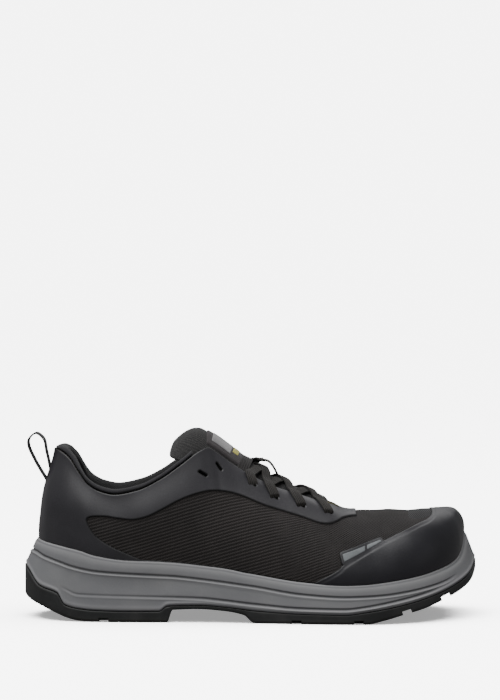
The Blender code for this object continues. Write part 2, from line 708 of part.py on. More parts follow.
def build_tongue(shoe):
    fabric = make_material("tongue_fabric", (0.025, 0.025, 0.025), 0.9)
    mesh = sheet(tongue_sections(), closed=False)
    if sum(face.normal.z for face in mesh.faces) < 0:
        bmesh.ops.reverse_faces(mesh, faces=mesh.faces)
    tongue = make_object("tongue", mesh, shoe, fabric)
    thicken(tongue, TONGUE_PAD, -1.0)
    label_skin = make_material("tongue_label", (0.06, 0.05, 0.055), 0.7)
    rows = [[over_tongue(place, share, GAP) for share in LABEL_SHARES] for place in LABEL_PLACES]
    plate = sheet(rows, closed=False)
    if sum(face.normal.z for face in plate.faces) < 0:
        bmesh.ops.reverse_faces(plate, faces=plate.faces)
    label = make_object("tongue_label", plate, shoe, label_skin)
    thicken(label, FILM, 1.0)
    webbing = make_material("webbing", (0.03, 0.03, 0.03), 0.9)
    shares = [-0.62 + 0.124 * i for i in range(11)]
    lift = 4 * GAP + BAND / 2
    line = [over_tongue(KEEPER_PLACE, share, lift) for share in shares]
    normals = band_normals(line, -throat_run())
    keeper = band(line, normals, KEEPER_WIDTH, BAND)
    make_object("lace_keeper", keeper, shoe, webbing)
    return tongue


def band_normals(line, side):
    """Directions square to a line and to the band's own width, pointing up."""
    normals = []
    for i in range(len(line)):
        ahead = line[min(i + 1, len(line) - 1)] - line[max(i - 1, 0)]
        normal = ahead.cross(side).normalized()
        normals.append(normal if normal.z > 0 else -normal)
    return normals


def lace_line(outer_place, inner_place, lift):
    """A lace's line over the tongue, from one of its holes to the other, with its directions."""
    above = FILM + 4 * GAP + LACE_THICK / 2
    ends = []
    for side, place in ((OUTER, outer_place), (INNER, inner_place)):
        hole = on_upper(side, place, EYELET_STEP, above)
        edge = on_upper(side, place, 0.985, above + GAP)
        ends.append((hole, edge))
    line = [ends[0][0], ends[0][1]]
    for share in (-0.75, -0.4, 0.0, 0.4, 0.75):
        weight = (share + 1) / 2
        place = outer_place + (inner_place - outer_place) * weight
        rise = over_tongue(place, share, above + GAP + lift * (1 - share * share), sink=0.0)
        line.append((rise, throat_up()))
    line += [ends[1][1], ends[1][0]]
    return [point for point, _ in line], [normal for _, normal in line]


def build_laces(shoe, cutters):
    cord = make_material("lace_cord", (0.045, 0.04, 0.036), 0.85)
    runs = [(EYELETS[-1], EYELETS[-1], 0.0)]
    for upper_row, lower_row in zip(EYELETS, EYELETS[1:]):
        runs.append((upper_row, lower_row, 0.0))
        runs.append((lower_row, upper_row, LACE_THICK * 0.6))
    laces = None
    for number, (outer_place, inner_place, lift) in enumerate(runs):
        points, normals = lace_line(outer_place, inner_place, lift)
        mesh = band(points, normals, LACE_WIDTH, LACE_THICK)
        if laces is None:
            laces = make_object("laces", mesh, shoe, cord)
        else:
            combine(laces, make_cutter(f"lace_run_{number}", mesh, cutters), "UNION")
    bow = [over_tongue(place, 0.0, lift) for place, lift in BOW]
    mesh = band(bow, band_normals(bow, Vector((0, 1, 0))), LACE_WIDTH, LACE_THICK)
    make_object("lace_bow", mesh, shoe, cord)
    return laces


def build_pull_loop(shoe):
    webbing = make_material("pull_webbing", (0.03, 0.03, 0.032), 0.9)
    corners = [
        Vector(((corner.along - 0.5) * LENGTH, -MIDDLE_Y, corner.height * COLLAR_HEIGHT))
        for corner in PULL_LOOP
    ]
    line = smooth_line(corners, 2)
    normals = []
    for i in range(len(line)):
        ahead = line[min(i + 1, len(line) - 1)] - line[max(i - 1, 0)]
        normals.append(ahead.cross(Vector((0, 1, 0))).normalized())
    return make_object("pull_loop", band(line, normals, PULL_WIDTH, BAND), shoe, webbing)


def make_slits(cutters):
    """The cutters of the lace holes: short slits through the facings on both sides."""
    slits = []
    for side, name in ((OUTER, "outer"), (INNER, "inner")):
        laced = [(place, EYELET_STEP) for place in EYELETS]
        for number, (place, step) in enumerate((*SPARE_EYELETS, *laced)):
            centre, normal = on_upper(side, place, step, 0.0)
            above = rib_point(side, place - SLIT_SLANT, step + 0.04)
            rise = (above - rib_point(side, place + SLIT_SLANT, step - 0.04)).normalized()
            back = normal.cross(rise)
            size = (SLIT_LENGTH, SLIT_WIDTH, 4 * WALL)
            block = box(centre, size, rise, back, normal)
            slits.append(make_cutter(f"slit_{name}_{number}", block, cutters))
    return slits


def build_shoe():
    for old in list(bpy.data.objects):
        bpy.data.objects.remove(old, do_unlink=True)
    shoe = make_collection("work_shoe")
    cutters = make_collection("cutters", hidden=True)
    slits = make_slits(cutters)
    build_outsole(shoe, cutters)
    build_midsole(shoe)
    build_insole(shoe)
    build_upper(shoe, slits)
    build_overlays(shoe, cutters, slits)
    build_collar(shoe)
    build_tongue(shoe)
    build_laces(shoe, cutters)
    build_pull_loop(shoe)


build_shoe()
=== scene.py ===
# %% [markdown]
# # A low black work shoe
#
# The shoe is a right one, seen from its outer side. Its solids come from a CAD model that is
# loaded as a fixed frame: the toe points along +X, up is +Z, and the outer side faces -Y.
# Everything here is in metres in that same frame, so nothing has to be moved to fit.
# Soft goods are made again as dense, smooth skins over the same curves as the solids.

# %% Load the frame
import math

import bmesh
import bpy
import numpy as np
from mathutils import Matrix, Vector


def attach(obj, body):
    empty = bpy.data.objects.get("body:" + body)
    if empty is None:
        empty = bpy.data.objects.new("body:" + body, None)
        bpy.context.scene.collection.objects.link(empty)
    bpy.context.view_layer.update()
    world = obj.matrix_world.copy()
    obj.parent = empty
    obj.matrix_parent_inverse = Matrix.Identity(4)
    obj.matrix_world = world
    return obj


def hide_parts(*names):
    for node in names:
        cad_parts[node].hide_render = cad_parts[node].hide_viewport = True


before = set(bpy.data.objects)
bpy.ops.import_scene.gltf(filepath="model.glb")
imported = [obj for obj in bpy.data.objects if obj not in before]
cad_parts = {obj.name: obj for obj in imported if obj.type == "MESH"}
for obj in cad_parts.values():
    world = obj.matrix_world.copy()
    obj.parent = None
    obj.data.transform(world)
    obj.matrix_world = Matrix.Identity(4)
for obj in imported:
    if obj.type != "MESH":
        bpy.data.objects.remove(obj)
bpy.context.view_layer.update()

# %% [markdown]
# ## The shoe's own sizes
#
# A shoe is laid out on a last, and every section is a share of a few sizes of that last. The
# columns below are the same shares that the solids were made from. Length along the shoe is a
# share of its length, breadth a share of its width at the ball, and height a share of the height
# of its collar, or of its sole for the sole. Panels are drawn in side view: each has a smooth
# curve and the square corners that close it far outside the shoe.

# %% Driving sizes
LENGTH = 0.300
BALL_WIDTH = 0.110
COLLAR_HEIGHT = 0.112
SOLE_HEIGHT = 0.056
WALL = 0.0024
FILM = 0.0008
RIM = 0.0018
TAPER = 0.0010
GAP = 0.0003
SPLIT_GAP = 0.0005
FOOTBED = 0.0042
BAND = 0.0012
TOE_SWING = 0.109
FAN_PULL = 0.010
OUTER, INNER = 0, 1

# %% Tables of shares
OUTLINE = {
    "along": (
        0.01, 0.035, 0.085, 0.16, 0.25, 0.36, 0.46, 0.56, 0.66, 0.74, 0.82, 0.89, 0.945, 0.98,
        0.996
    ),
    "outer": (
        0.118, 0.223, 0.309, 0.355, 0.373, 0.382, 0.405, 0.441, 0.477, 0.486, 0.455, 0.377, 0.259,
        0.123, -0.027
    ),
    "inner": (
        0.118, 0.218, 0.3, 0.345, 0.355, 0.336, 0.332, 0.373, 0.455, 0.5, 0.518, 0.495, 0.427,
        0.327, 0.223
    ),
}
SIDES = {
    "around": (
        0, 0.04, 0.08, 0.12, 0.135, 0.16, 0.19, 0.25, 0.31, 0.325, 0.335, 0.385, 0.43, 0.465,
        0.485, 0.57, 0.65, 0.69, 0.725, 0.764, 0.8, 0.85, 0.9, 0.95, 1
    ),
    "top": (
        0.927, 0.914, 0.896, 0.864, 0.848, 0.818, 0.761, 0.709, 0.696, 0.689, 0.686, 0.654, 0.621,
        0.577, 0.557, 0.475, 0.443, 0.452, 0.473, 0.504, 0.537, 0.598, 0.671, 0.8, 0.982
    ),
    "upper_crease": (
        0.804, 0.796, 0.75, 0.693, 0.666, 0.629, 0.598, 0.573, 0.555, 0.55, 0.546, 0.514, 0.479,
        0.45, 0.434, 0.352, 0.323, 0.329, 0.341, 0.368, 0.402, 0.461, 0.554, 0.661, 0.804
    ),
    "lower_crease": (
        0.688, 0.643, 0.518, 0.42, 0.375, 0.318, 0.312, 0.304, 0.296, 0.293, 0.291, 0.282, 0.257,
        0.232, 0.22, 0.179, 0.173, 0.2, 0.239, 0.288, 0.337, 0.414, 0.504, 0.604, 0.723
    ),
    "split": (
        0.612, 0.554, 0.393, 0.321, 0.188, 0.148, 0.129, 0.121, 0.123, 0.182, 0.189, 0.196, 0.179,
        0.155, 0.141, 0.111, 0.105, 0.136, 0.171, 0.218, 0.271, 0.357, 0.454, 0.554, 0.654
    ),
    "ground": (
        0.25, 0.214, 0.161, 0.08, 0.046, 0.011, 0, 0, 0, 0, 0.146, 0.155, 0.136, 0.093, 0, 0, 0, 0,
        0.043, 0.107, 0.159, 0.254, 0.346, 0.439, 0.525
    ),
    "floor": (
        0.509, 0.509, 0.5, 0.5, 0.5, 0.491, 0.482, 0.473, 0.446, 0.436, 0.429, 0.393, 0.357, 0.336,
        0.325, 0.277, 0.259, 0.268, 0.293, 0.336, 0.379, 0.443, 0.504, 0.554, 0.586
    ),
    "lean": (
        0.143, 0.132, 0.114, 0.096, 0.091, 0.086, 0.08, 0.077, 0.075, 0.075, 0.075, 0.075, 0.075,
        0.075, 0.075, 0.075, 0.075, 0.077, 0.08, 0.086, 0.093, 0.105, 0.116, 0.123, 0.125
    ),
    "upper_cut": (1, 1, 1, 1, 1, 1, 1, 1, 1, 1, 1, 1, 1, 1, 1, 1, 1, 1, 1, 1, 1, 0.8, 0, 0, 0),
    "lower_cut": (0, 0, 0, 0, 0.5, 1, 1, 1, 1, 1, 1, 1, 1, 1, 1, 1, 1, 1, 1, 1, 1, 0, 0, 0, 0),
}
RIBS = {
    "around": (
        0, 0.03, 0.06, 0.09, 0.12, 0.15, 0.18, 0.21, 0.24, 0.28, 0.32, 0.36, 0.4, 0.42, 0.44, 0.48,
        0.53, 0.58, 0.63, 0.67, 0.7, 0.72, 0.76, 0.8, 0.85, 0.9, 0.95, 1
    ),
    "along": (
        0.069, 0.071, 0.078, 0.092, 0.106, 0.123, 0.145, 0.172, 0.203, 0.253, 0.3, 0.345, 0.387,
        0.404, 0.42, 0.457, 0.503, 0.55, 0.607, 0.653, 0.688, 0.703, 0.737, 0.777, 0.823, 0.853,
        0.87, 0.873
    ),
    "centre": (
        0, 0, 0, 0, 0, 0, 0, 0, 0, 0, 0, 0, 0, 0, 0, 0.003, 0.007, 0.014, 0.02, 0.027, 0.033,
        0.036, 0.044, 0.055, 0.068, 0.082, 0.093, 0.095
    ),
    "off": (
        0, 0.064, 0.123, 0.164, 0.191, 0.223, 0.25, 0.268, 0.282, 0.291, 0.291, 0.273, 0.236,
        0.205, 0.182, 0.171, 0.166, 0.159, 0.145, 0.123, 0.073, 0, 0, 0, 0, 0, 0, 0
    ),
    "height": (
        0.991, 0.991, 0.987, 0.967, 0.933, 0.866, 0.79, 0.75, 0.734, 0.759, 0.819, 0.902, 0.985,
        1.004, 0.978, 0.905, 0.83, 0.768, 0.717, 0.674, 0.643, 0.629, 0.625, 0.627, 0.634, 0.641,
        0.645, 0.646
    ),
    "rise": (
        0.179, 0.179, 0.179, 0.179, 0.17, 0.152, 0.134, 0.125, 0.125, 0.134, 0.161, 0.196, 0.232,
        0.25, 0.25, 0.241, 0.223, 0.196, 0.17, 0.161, 0.161, 0.17, 0.179, 0.196, 0.196, 0.196,
        0.17, 0.116
    ),
    "out": (
        0.007, 0.008, 0.012, 0.017, 0.022, 0.025, 0.027, 0.029, 0.031, 0.032, 0.032, 0.029, 0.027,
        0.027, 0.027, 0.027, 0.027, 0.027, 0.027, 0.027, 0.027, 0.027, 0.027, 0.027, 0.024, 0.02,
        0.015, 0.011
    ),
    "spread": (
        0.03, 0.03, 0.032, 0.034, 0.036, 0.032, 0.032, 0.027, 0.027, 0.032, 0.036, 0.045, 0.064,
        0.082, 0.1, 0.118, 0.132, 0.136, 0.145, 0.164, 0.182, 0.2, 0.227, 0.245, 0.236, 0.209,
        0.182, 0.173
    ),
    "drop": (
        0.196, 0.196, 0.196, 0.188, 0.179, 0.152, 0.125, 0.116, 0.116, 0.125, 0.143, 0.179, 0.205,
        0.196, 0.179, 0.143, 0.116, 0.089, 0.067, 0.045, 0.031, 0.027, 0.018, 0.009, 0.003, -0.003,
        -0.009, -0.013
    ),
}
CROWNS = {
    "around": (0.42, 0.48, 0.53, 0.58, 0.63, 0.67, 0.7),
    "rise": (0.071, 0.071, 0.058, 0.045, 0.031, 0.022, 0.013),
}
WINDOW_CURVE = (
    (0.277, 0.351), (0.266, 0.357), (0.233, 0.393), (0.199, 0.434), (0.177, 0.469), (0.159, 0.509),
    (0.144, 0.598), (0.177, 0.611), (0.211, 0.6), (0.244, 0.594), (0.277, 0.615), (0.311, 0.66),
    (0.344, 0.707), (0.378, 0.741), (0.411, 0.759), (0.444, 0.753), (0.478, 0.729), (0.527, 0.675),
    (0.567, 0.64), (0.611, 0.604), (0.656, 0.565), (0.678, 0.566), (0.703, 0.59), (0.732, 0.594),
)
WINDOW_CORNERS = ((0.736, 0.9), (1.1, 0.9), (1.1, 0.1), (0.277, 0.1))
CAP_CURVE = (
    (0.64, 0.233), (0.656, 0.263), (0.678, 0.293), (0.7, 0.328), (0.712, 0.358), (0.804, 0.487),
    (0.856, 0.546), (0.879, 0.57), (0.901, 0.592), (0.91, 0.61), (0.912, 0.626), (0.907, 0.64),
)
CAP_CORNERS = ((0.907, 1.2), (-0.1, 1.2), (-0.1, 0.1), (0.64, 0.1))
REFLECTOR = ((0.712, 0.366), (0.797, 0.473), (0.793, 0.487), (0.708, 0.414))
REFLECTOR_MIDDLE = 0.7605
PULL_LOOP = (
    (0.0495, 0.798), (0.0435, 0.826), (0.032, 0.876), (0.021, 0.93), (0.009, 1.004), (0.009, 1.044),
    (0.025, 1.08), (0.042, 1.046), (0.048, 0.975), (0.053, 0.915), (0.056, 0.872),
)

# %% [markdown]
# ## Reading a table
#
# A cubic between rows with the gentler of the two neighbouring slopes never overshoots, so a
# column of numbers becomes a smooth line with no waves in it. NumPy reads thousands of places at
# once, which keeps a dense skin quick to make.

# %% Read a column
def read(table, column, around):
    """A column at any places between its rows, level at both ends."""
    places = np.array(table["around"])
    values = np.array(table[column], float)
    around = np.clip(np.asarray(around, float), places[0], places[-1])
    slopes = np.diff(values) / np.diff(places)
    tangents = np.zeros(len(values))
    before, after = slopes[:-1], slopes[1:]
    same = before * after > 0
    tangents[1:-1][same] = (2 * before * after)[same] / (before + after)[same]
    k = np.clip(np.searchsorted(places, around, side="right") - 1, 0, len(slopes) - 1)
    width = places[k + 1] - places[k]
    s = (around - places[k]) / width
    start = (1 + 2 * s) * (1 - s) ** 2 * values[k] + s * (1 - s) ** 2 * width * tangents[k]
    return start + s * s * (3 - 2 * s) * values[k + 1] + s * s * (s - 1) * width * tangents[k + 1]


# %% Soft steps and smooth lines
def smooth_step(value, low, high):
    """0 below one limit, 1 above the other and a soft rise between them."""
    share = np.clip((value - low) / (high - low), 0.0, 1.0)
    return share * share * (3 - 2 * share)


def hump(value, centre, half):
    """1 at the centre, falling softly to 0 at half a width on either side."""
    return np.clip(1 - ((value - centre) / half) ** 2, 0.0, 1.0) ** 2


def unit(vectors):
    size = np.linalg.norm(vectors, axis=-1, keepdims=True)
    return vectors / np.maximum(size, 1e-12)


def smooth_line(points, steps, closed=False):
    """Points on a smooth line through the given ones."""
    points = np.asarray(points, float)
    count = len(points)
    line = []
    for i in range(count if closed else count - 1):
        if closed:
            a, b, c, d = (points[(i + k) % count] for k in (-1, 0, 1, 2))
        else:
            a, b, c, d = (points[min(max(i + k, 0), count - 1)] for k in (-1, 0, 1, 2))
        before = max(np.linalg.norm(b - a) ** 0.5, 1e-6)
        between = max(np.linalg.norm(c - b) ** 0.5, 1e-6)
        after = max(np.linalg.norm(d - c) ** 0.5, 1e-6)
        leave = ((b - a) / before - (c - a) / (before + between) + (c - b) / between) * between
        arrive = ((c - b) / between - (d - b) / (between + after) + (d - c) / after) * between
        for step in range(steps):
            s = step / steps
            line.append((2 * s**3 - 3 * s**2 + 1) * b + (s**3 - 2 * s**2 + s) * leave
                        + (3 * s**2 - 2 * s**3) * c + (s**3 - s**2) * arrive)
    if not closed:
        line.append(points[-1])
    return np.array(line)


# %% [markdown]
# ## The sole's edge and the last above it
#
# The sole seen from above is one closed line. A place on it is written as a turn from 0 to 2: the
# outer side from heel to toe is 0 to 1, and the inner side runs back from 1 to 2. The upper is a
# fan of ribs: each rib starts at the sole's rim and bends over the last up to the collar, the
# throat or the toe box. A Bezier curve with four control points describes a rib.

# %% The sole's edge
EDGE_STEPS = 24


def sole_edges():
    outer = [(a * LENGTH, -b * BALL_WIDTH) for a, b in zip(OUTLINE["along"], OUTLINE["outer"])]
    inner = [(a * LENGTH, b * BALL_WIDTH) for a, b in zip(OUTLINE["along"], OUTLINE["inner"])]
    toe = (LENGTH, TOE_SWING * BALL_WIDTH)
    loop = smooth_line([(0.0, 0.0), *outer, toe, *reversed(inner)], EDGE_STEPS, closed=True)
    middle = (loop[:, 1].max() + loop[:, 1].min()) / 2
    loop = loop - (LENGTH / 2, middle)
    half = EDGE_STEPS * (len(outer) + 1)
    edges = []
    for edge in (loop[:half + 1], np.vstack([loop[:1], loop[half:][::-1]])):
        reach = np.concatenate([[0.0], np.cumsum(np.linalg.norm(np.diff(edge, axis=0), axis=1))])
        edges.append((edge, reach / reach[-1]))
    return edges, middle


EDGES, MIDDLE_Y = sole_edges()


def around_of(turn):
    """The side (True for the inner one) and the share round that side, from a turn."""
    turn = np.mod(np.asarray(turn, float), 2.0)
    inner = turn > 1.0
    return inner, np.where(inner, 2.0 - turn, turn)


def edge_point(turn, inset=0.0):
    """Points on the sole's edge seen from above, moved inwards, and their outward directions."""
    inner, around = around_of(turn)
    places, outs = [], []
    for side in (OUTER, INNER):
        line, reach = EDGES[side]
        run = np.gradient(line, reach, axis=0)
        run[0] = (0.0, -1.0 if side == OUTER else 1.0)
        run[-1] = (0.0, 1.0 if side == OUTER else -1.0)
        place = np.stack([np.interp(around, reach, line[:, k]) for k in (0, 1)], axis=-1)
        slope = unit(np.stack([np.interp(around, reach, run[:, k]) for k in (0, 1)], axis=-1))
        turned = np.stack([slope[..., 1], -slope[..., 0]], axis=-1)
        places.append(place)
        outs.append(turned if side == OUTER else -turned)
    pick = inner[..., None]
    place = np.where(pick, places[1], places[0])
    out = np.where(pick, outs[1], outs[0])
    return place - out * np.asarray(inset)[..., None], out


def sole_value(column, turn):
    return read(SIDES, column, around_of(turn)[1])


# %% The ribs of the upper
def rib_point(turn, step):
    """Points on the upper's outer face: turn is the place round the shoe, step 0 to 1 up a rib."""
    turn, step = np.broadcast_arrays(np.asarray(turn, float), np.asarray(step, float))
    inner, around = around_of(turn)
    lean = read(SIDES, "lean", around) * SOLE_HEIGHT
    flat, out = edge_point(turn, lean + RIM + GAP)
    height = read(SIDES, "top", around) * SOLE_HEIGHT + 2 * GAP
    foot = np.concatenate([flat, height[..., None]], axis=-1)
    row = {name: read(RIBS, name, around) for name in RIBS if name != "around"}
    across = row["off"] * BALL_WIDTH * np.where(inner, 1.0, -1.0)
    end = np.stack([
        (row["along"] - 0.5) * LENGTH,
        row["centre"] * BALL_WIDTH - MIDDLE_Y + across,
        row["height"] * COLLAR_HEIGHT,
    ], axis=-1)
    outward = np.concatenate([out, np.zeros_like(out[..., :1])], axis=-1)
    away = foot - end + outward * FAN_PULL
    away[..., 2] = 0.0
    up = np.array((0.0, 0.0, 1.0))
    rise = outward * (row["out"] * BALL_WIDTH)[..., None]
    rise = rise + up * (row["rise"] * COLLAR_HEIGHT)[..., None]
    spread = unit(away) * (row["spread"] * BALL_WIDTH)[..., None]
    spread = spread - up * (row["drop"] * COLLAR_HEIGHT)[..., None]
    s = step[..., None]
    r = 1.0 - s
    return (r**3 * foot + 3 * r**2 * s * (foot + rise) + 3 * r * s**2 * (end + spread)
            + s**3 * end)


def rib_normal(turn, step):
    """Outward directions square to the upper's outer face."""
    turn, step = np.broadcast_arrays(np.asarray(turn, float), np.asarray(step, float))
    ahead = rib_point(turn + 0.004, step) - rib_point(turn - 0.004, step)
    low, high = np.clip(step - 0.02, 0.0, 1.0), np.clip(step + 0.02, 0.0, 1.0)
    rise = rib_point(turn, high) - rib_point(turn, low)
    return unit(np.cross(ahead, rise))


def on_upper(turn, step, distance=0.0):
    return rib_point(turn, step) + rib_normal(turn, step) * np.asarray(distance)[..., None]


print("heel", rib_point(0.0, 0.0), "ball", rib_point(0.6, 0.5), "toe", rib_point(1.0, 1.0))

# %% [markdown]
# ## Camera
#
# The photograph is a catalogue picture taken from the side with a long lens, a little above the
# shoe. A long lens far away keeps the near and the far edge of the sole almost the same size.
# The frame is taller than it is wide, so the sensor is fitted to its height.

# %% Camera
CAMERA_PLACE = Vector((-0.0007, -1.8, 0.2319))
CAMERA_AIM = Vector((-0.0007, 0.0, 0.1759))
SENSOR_HEIGHT = 36.0
LENS = 139.6
camera_data = bpy.data.cameras.new("camera")
camera_data.sensor_fit = "VERTICAL"
camera_data.sensor_height = SENSOR_HEIGHT
camera_data.lens = LENS
camera = bpy.data.objects.new("camera", camera_data)
camera.location = CAMERA_PLACE
camera.rotation_euler = (CAMERA_AIM - CAMERA_PLACE).to_track_quat("-Z", "Y").to_euler()
bpy.context.scene.collection.objects.link(camera)
bpy.context.scene.camera = camera
print("camera", tuple(round(value, 4) for value in camera.location))

# %% [markdown]
# ## Floor and light
#
# A catalogue picture has no horizon: the paper under the shoe and the wall behind it have the
# same pale tone, far paler than anything on a black shoe. One exposure can't show both under the
# same lamps, so a wide sun shines on the paper alone, and the shoe still throws its soft shadow
# there. Rays that leave the shoe meet a darker paper, as a black flag beside a real shoe would
# give. The shoe itself is drawn by large soft boxes: a strong one above, a weaker one in front,
# and two dim ones that only open the shadows at the toe and behind.

# %% Floor sheet
FLOOR_HALF = 60.0
PAPER_TONE = 0.87
PAPER_TONE_FOR_SHOE = 0.03
PAPER_GLOW = 0.35


def make_floor():
    """A flat sheet of paper, as wide as the view to the horizon."""
    mesh = bmesh.new()
    corners = ((-1, -1), (1, -1), (1, 1), (-1, 1))
    mesh.faces.new([mesh.verts.new((x * FLOOR_HALF, y * FLOOR_HALF, 0.0)) for x, y in corners])
    data = bpy.data.meshes.new("floor")
    mesh.to_mesh(data)
    mesh.free()
    made = bpy.data.objects.new("floor", data)
    bpy.context.scene.collection.objects.link(made)
    return made


def node(tree, kind, inputs=None, **settings):
    """A new node with some settings, whose inputs are numbers or other nodes' outputs."""
    made = tree.nodes.new(kind)
    for label, value in settings.items():
        setattr(made, label, value)
    for label, value in (inputs or {}).items():
        if isinstance(value, bpy.types.NodeSocket):
            tree.links.new(value, made.inputs[label])
        else:
            made.inputs[label].default_value = value
    return made


def make_paper():
    """Matt paper: pale for the camera, darker for light that goes on to the shoe."""
    material = bpy.data.materials.new("floor_paper")
    material.use_nodes = True
    tree = material.node_tree
    tree.nodes.clear()
    seen = node(tree, "ShaderNodeLightPath").outputs["Is Camera Ray"]
    dim, pale = (
        node(tree, "ShaderNodeBsdfDiffuse", {"Color": (tone, tone, tone, 1.0)}).outputs[0]
        for tone in (PAPER_TONE_FOR_SHOE, PAPER_TONE)
    )
    paper = node(tree, "ShaderNodeMixShader", {0: seen, 1: dim, 2: pale}).outputs[0]
    glow = node(tree, "ShaderNodeEmission",
                {"Color": (PAPER_GLOW, PAPER_GLOW, PAPER_GLOW, 1.0), "Strength": seen}).outputs[0]
    both = node(tree, "ShaderNodeAddShader", {0: paper, 1: glow}).outputs[0]
    node(tree, "ShaderNodeOutputMaterial", {"Surface": both})
    return material


floor = make_floor()
floor.data.materials.append(make_paper())

# %% Sun for the paper, soft boxes and surrounding light
PAPER_SUN = 20.7
SUN_SPREAD = 75.0
SHOE_SURROUND = 0.25
SOFT_BOXES = {
    "top_box": ((-0.35, -0.1, 1.5), (0.0, 0.0, 0.0), (1.2, 1.2), 19.0),
    "front_box": ((-0.5, -1.2, 1.3), (0.0, 0.0, 0.05), (1.3, 0.8), 10.5),
    "right_box": ((1.5, -0.8, 0.8), (0.05, 0.0, 0.05), (0.8, 1.0), 0.5),
    "back_box": ((0.3, 1.3, 1.2), (0.0, 0.0, 0.05), (1.4, 0.8), 4.0),
}


def add_light(name, kind, energy):
    data = bpy.data.lights.new(name, kind)
    data.energy = energy
    made = bpy.data.objects.new(name, data)
    bpy.context.scene.collection.objects.link(made)
    return made


def soft_box(name, place, aim, size, power):
    """An area light that shines from one place towards another."""
    made = add_light(name, "AREA", power)
    made.data.shape = "RECTANGLE"
    made.data.size, made.data.size_y = size
    made.location = place
    made.rotation_euler = (Vector(aim) - Vector(place)).to_track_quat("-Z", "Y").to_euler()


def paper_sun():
    """A wide sun straight above that lights the paper and nothing else."""
    made = add_light("paper_sun", "SUN", PAPER_SUN)
    made.data.angle = math.radians(SUN_SPREAD)
    lit = bpy.data.collections.new("lit_by_paper_sun")
    lit.objects.link(floor)
    made.light_linking.receiver_collection = lit


def make_world():
    """A surround that the camera sees as pale as the paper, and the shoe as a dim room."""
    world = bpy.data.worlds.new("studio")
    world.use_nodes = True
    tree = world.node_tree
    seen = node(tree, "ShaderNodeLightPath").outputs["Is Camera Ray"]
    as_paper = PAPER_GLOW + PAPER_TONE * (PAPER_SUN / math.pi + SHOE_SURROUND)
    ends = {"Value": seen, "To Min": SHOE_SURROUND, "To Max": as_paper}
    strength = node(tree, "ShaderNodeMapRange", ends).outputs["Result"]
    background = tree.nodes["Background"]
    background.inputs["Color"].default_value = (1.0, 1.0, 1.0, 1.0)
    tree.links.new(strength, background.inputs["Strength"])
    return world


paper_sun()
for box_name, box in SOFT_BOXES.items():
    soft_box(box_name, *box)
bpy.context.scene.world = make_world()
print("floor and", len(bpy.data.lights), "lights")

# %% [markdown]
# ## Making pieces from points
#
# A skin is a grid of points with four-sided faces. Blender takes a list of points and a list of
# faces; flat cloth coordinates and masks are stored with the points, so that a material can
# follow the cloth and know how far it is from an edge.

# %% Pieces from points and faces
WELD_REACH = 0.00002
CHUNK = 4000


def weld(data):
    """Joins points that lie on each other, so that light runs smoothly over a closed seam."""
    mesh = bmesh.new()
    mesh.from_mesh(data)
    bmesh.ops.remove_doubles(mesh, verts=mesh.verts, dist=WELD_REACH)
    mesh.to_mesh(data)
    mesh.free()


def make_piece(name, points, faces, material, nodes, cloth, fields=None):
    """A smooth mesh piece that rides on the shoe and may stand for CAD nodes."""
    data = bpy.data.meshes.new(name)
    data.from_pydata(np.asarray(points, float).tolist(), [], [tuple(face) for face in faces])
    data.materials.append(material)
    data.polygons.foreach_set("use_smooth", np.ones(len(data.polygons), bool))
    corner = np.empty(len(data.loops), np.int32)
    data.loops.foreach_get("vertex_index", corner)
    flat = data.uv_layers.new(name="cloth")
    flat.data.foreach_set("uv", np.asarray(cloth, np.float32)[corner].ravel())
    for label, values in (fields or {}).items():
        layer = data.attributes.new(label, "FLOAT", "POINT")
        layer.data.foreach_set("value", np.asarray(values, np.float32))
    weld(data)
    made = bpy.data.objects.new(name, data)
    bpy.context.scene.collection.objects.link(made)
    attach(made, "root")
    if nodes:
        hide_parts(*nodes)
    print(name, "faces", len(data.polygons))
    return made


# %% Grids of faces, and lengths on a grid
def grid_faces(columns, rows, wrap_columns=False, wrap_rows=False):
    """Four-sided faces of a grid whose points are stored column after column."""
    i = np.arange(columns if wrap_columns else columns - 1)
    k = np.arange(rows if wrap_rows else rows - 1)
    i, k = np.meshgrid(i, k, indexing="ij")
    right, above = (i + 1) % columns, (k + 1) % rows
    corners = (i * rows + k, right * rows + k, right * rows + above, i * rows + above)
    return np.stack(corners, axis=-1).reshape(-1, 4)


def lengths(points, axis):
    """Running length along one axis of a grid of points."""
    steps = np.linalg.norm(np.diff(points, axis=axis), axis=-1)
    start = np.zeros_like(np.take(steps, [0], axis=axis))
    return np.concatenate([start, np.cumsum(steps, axis=axis)], axis=axis)


# %% Faces cut along a line
def cut_faces(values, faces, level, keep_low=False):
    """Faces split where the last column of the values crosses a level. The low side may go."""
    field = values[:, -1] - level
    inside = field > 0
    rows, added, made = [], {}, []
    field_list, inside_list = field.tolist(), inside.tolist()
    for face in faces:
        signs = [inside_list[v] for v in face]
        if all(signs):
            made.append(face)
            continue
        if not any(signs):
            if keep_low:
                made.append(face)
            continue
        high, low = [], []
        for v, w in zip(face, [*face[1:], face[0]]):
            (high if inside_list[v] else low).append(v)
            if inside_list[v] == inside_list[w]:
                continue
            key = (min(v, w), max(v, w))
            if key not in added:
                a, b = key
                share = field_list[a] / (field_list[a] - field_list[b])
                added[key] = len(values) + len(rows)
                rows.append(values[a] * (1 - share) + values[b] * share)
            high.append(added[key])
            low.append(added[key])
        if len(high) > 2:
            made.append(high)
        if keep_low and len(low) > 2:
            made.append(low)
    return (np.vstack([values, rows]) if rows else values), made


def tidy(values, faces):
    """Leaves out the points that no face uses."""
    used = np.zeros(len(values), bool)
    for face in faces:
        used[list(face)] = True
    index = (np.cumsum(used) - 1).tolist()
    return values[used], [[index[v] for v in face] for face in faces]


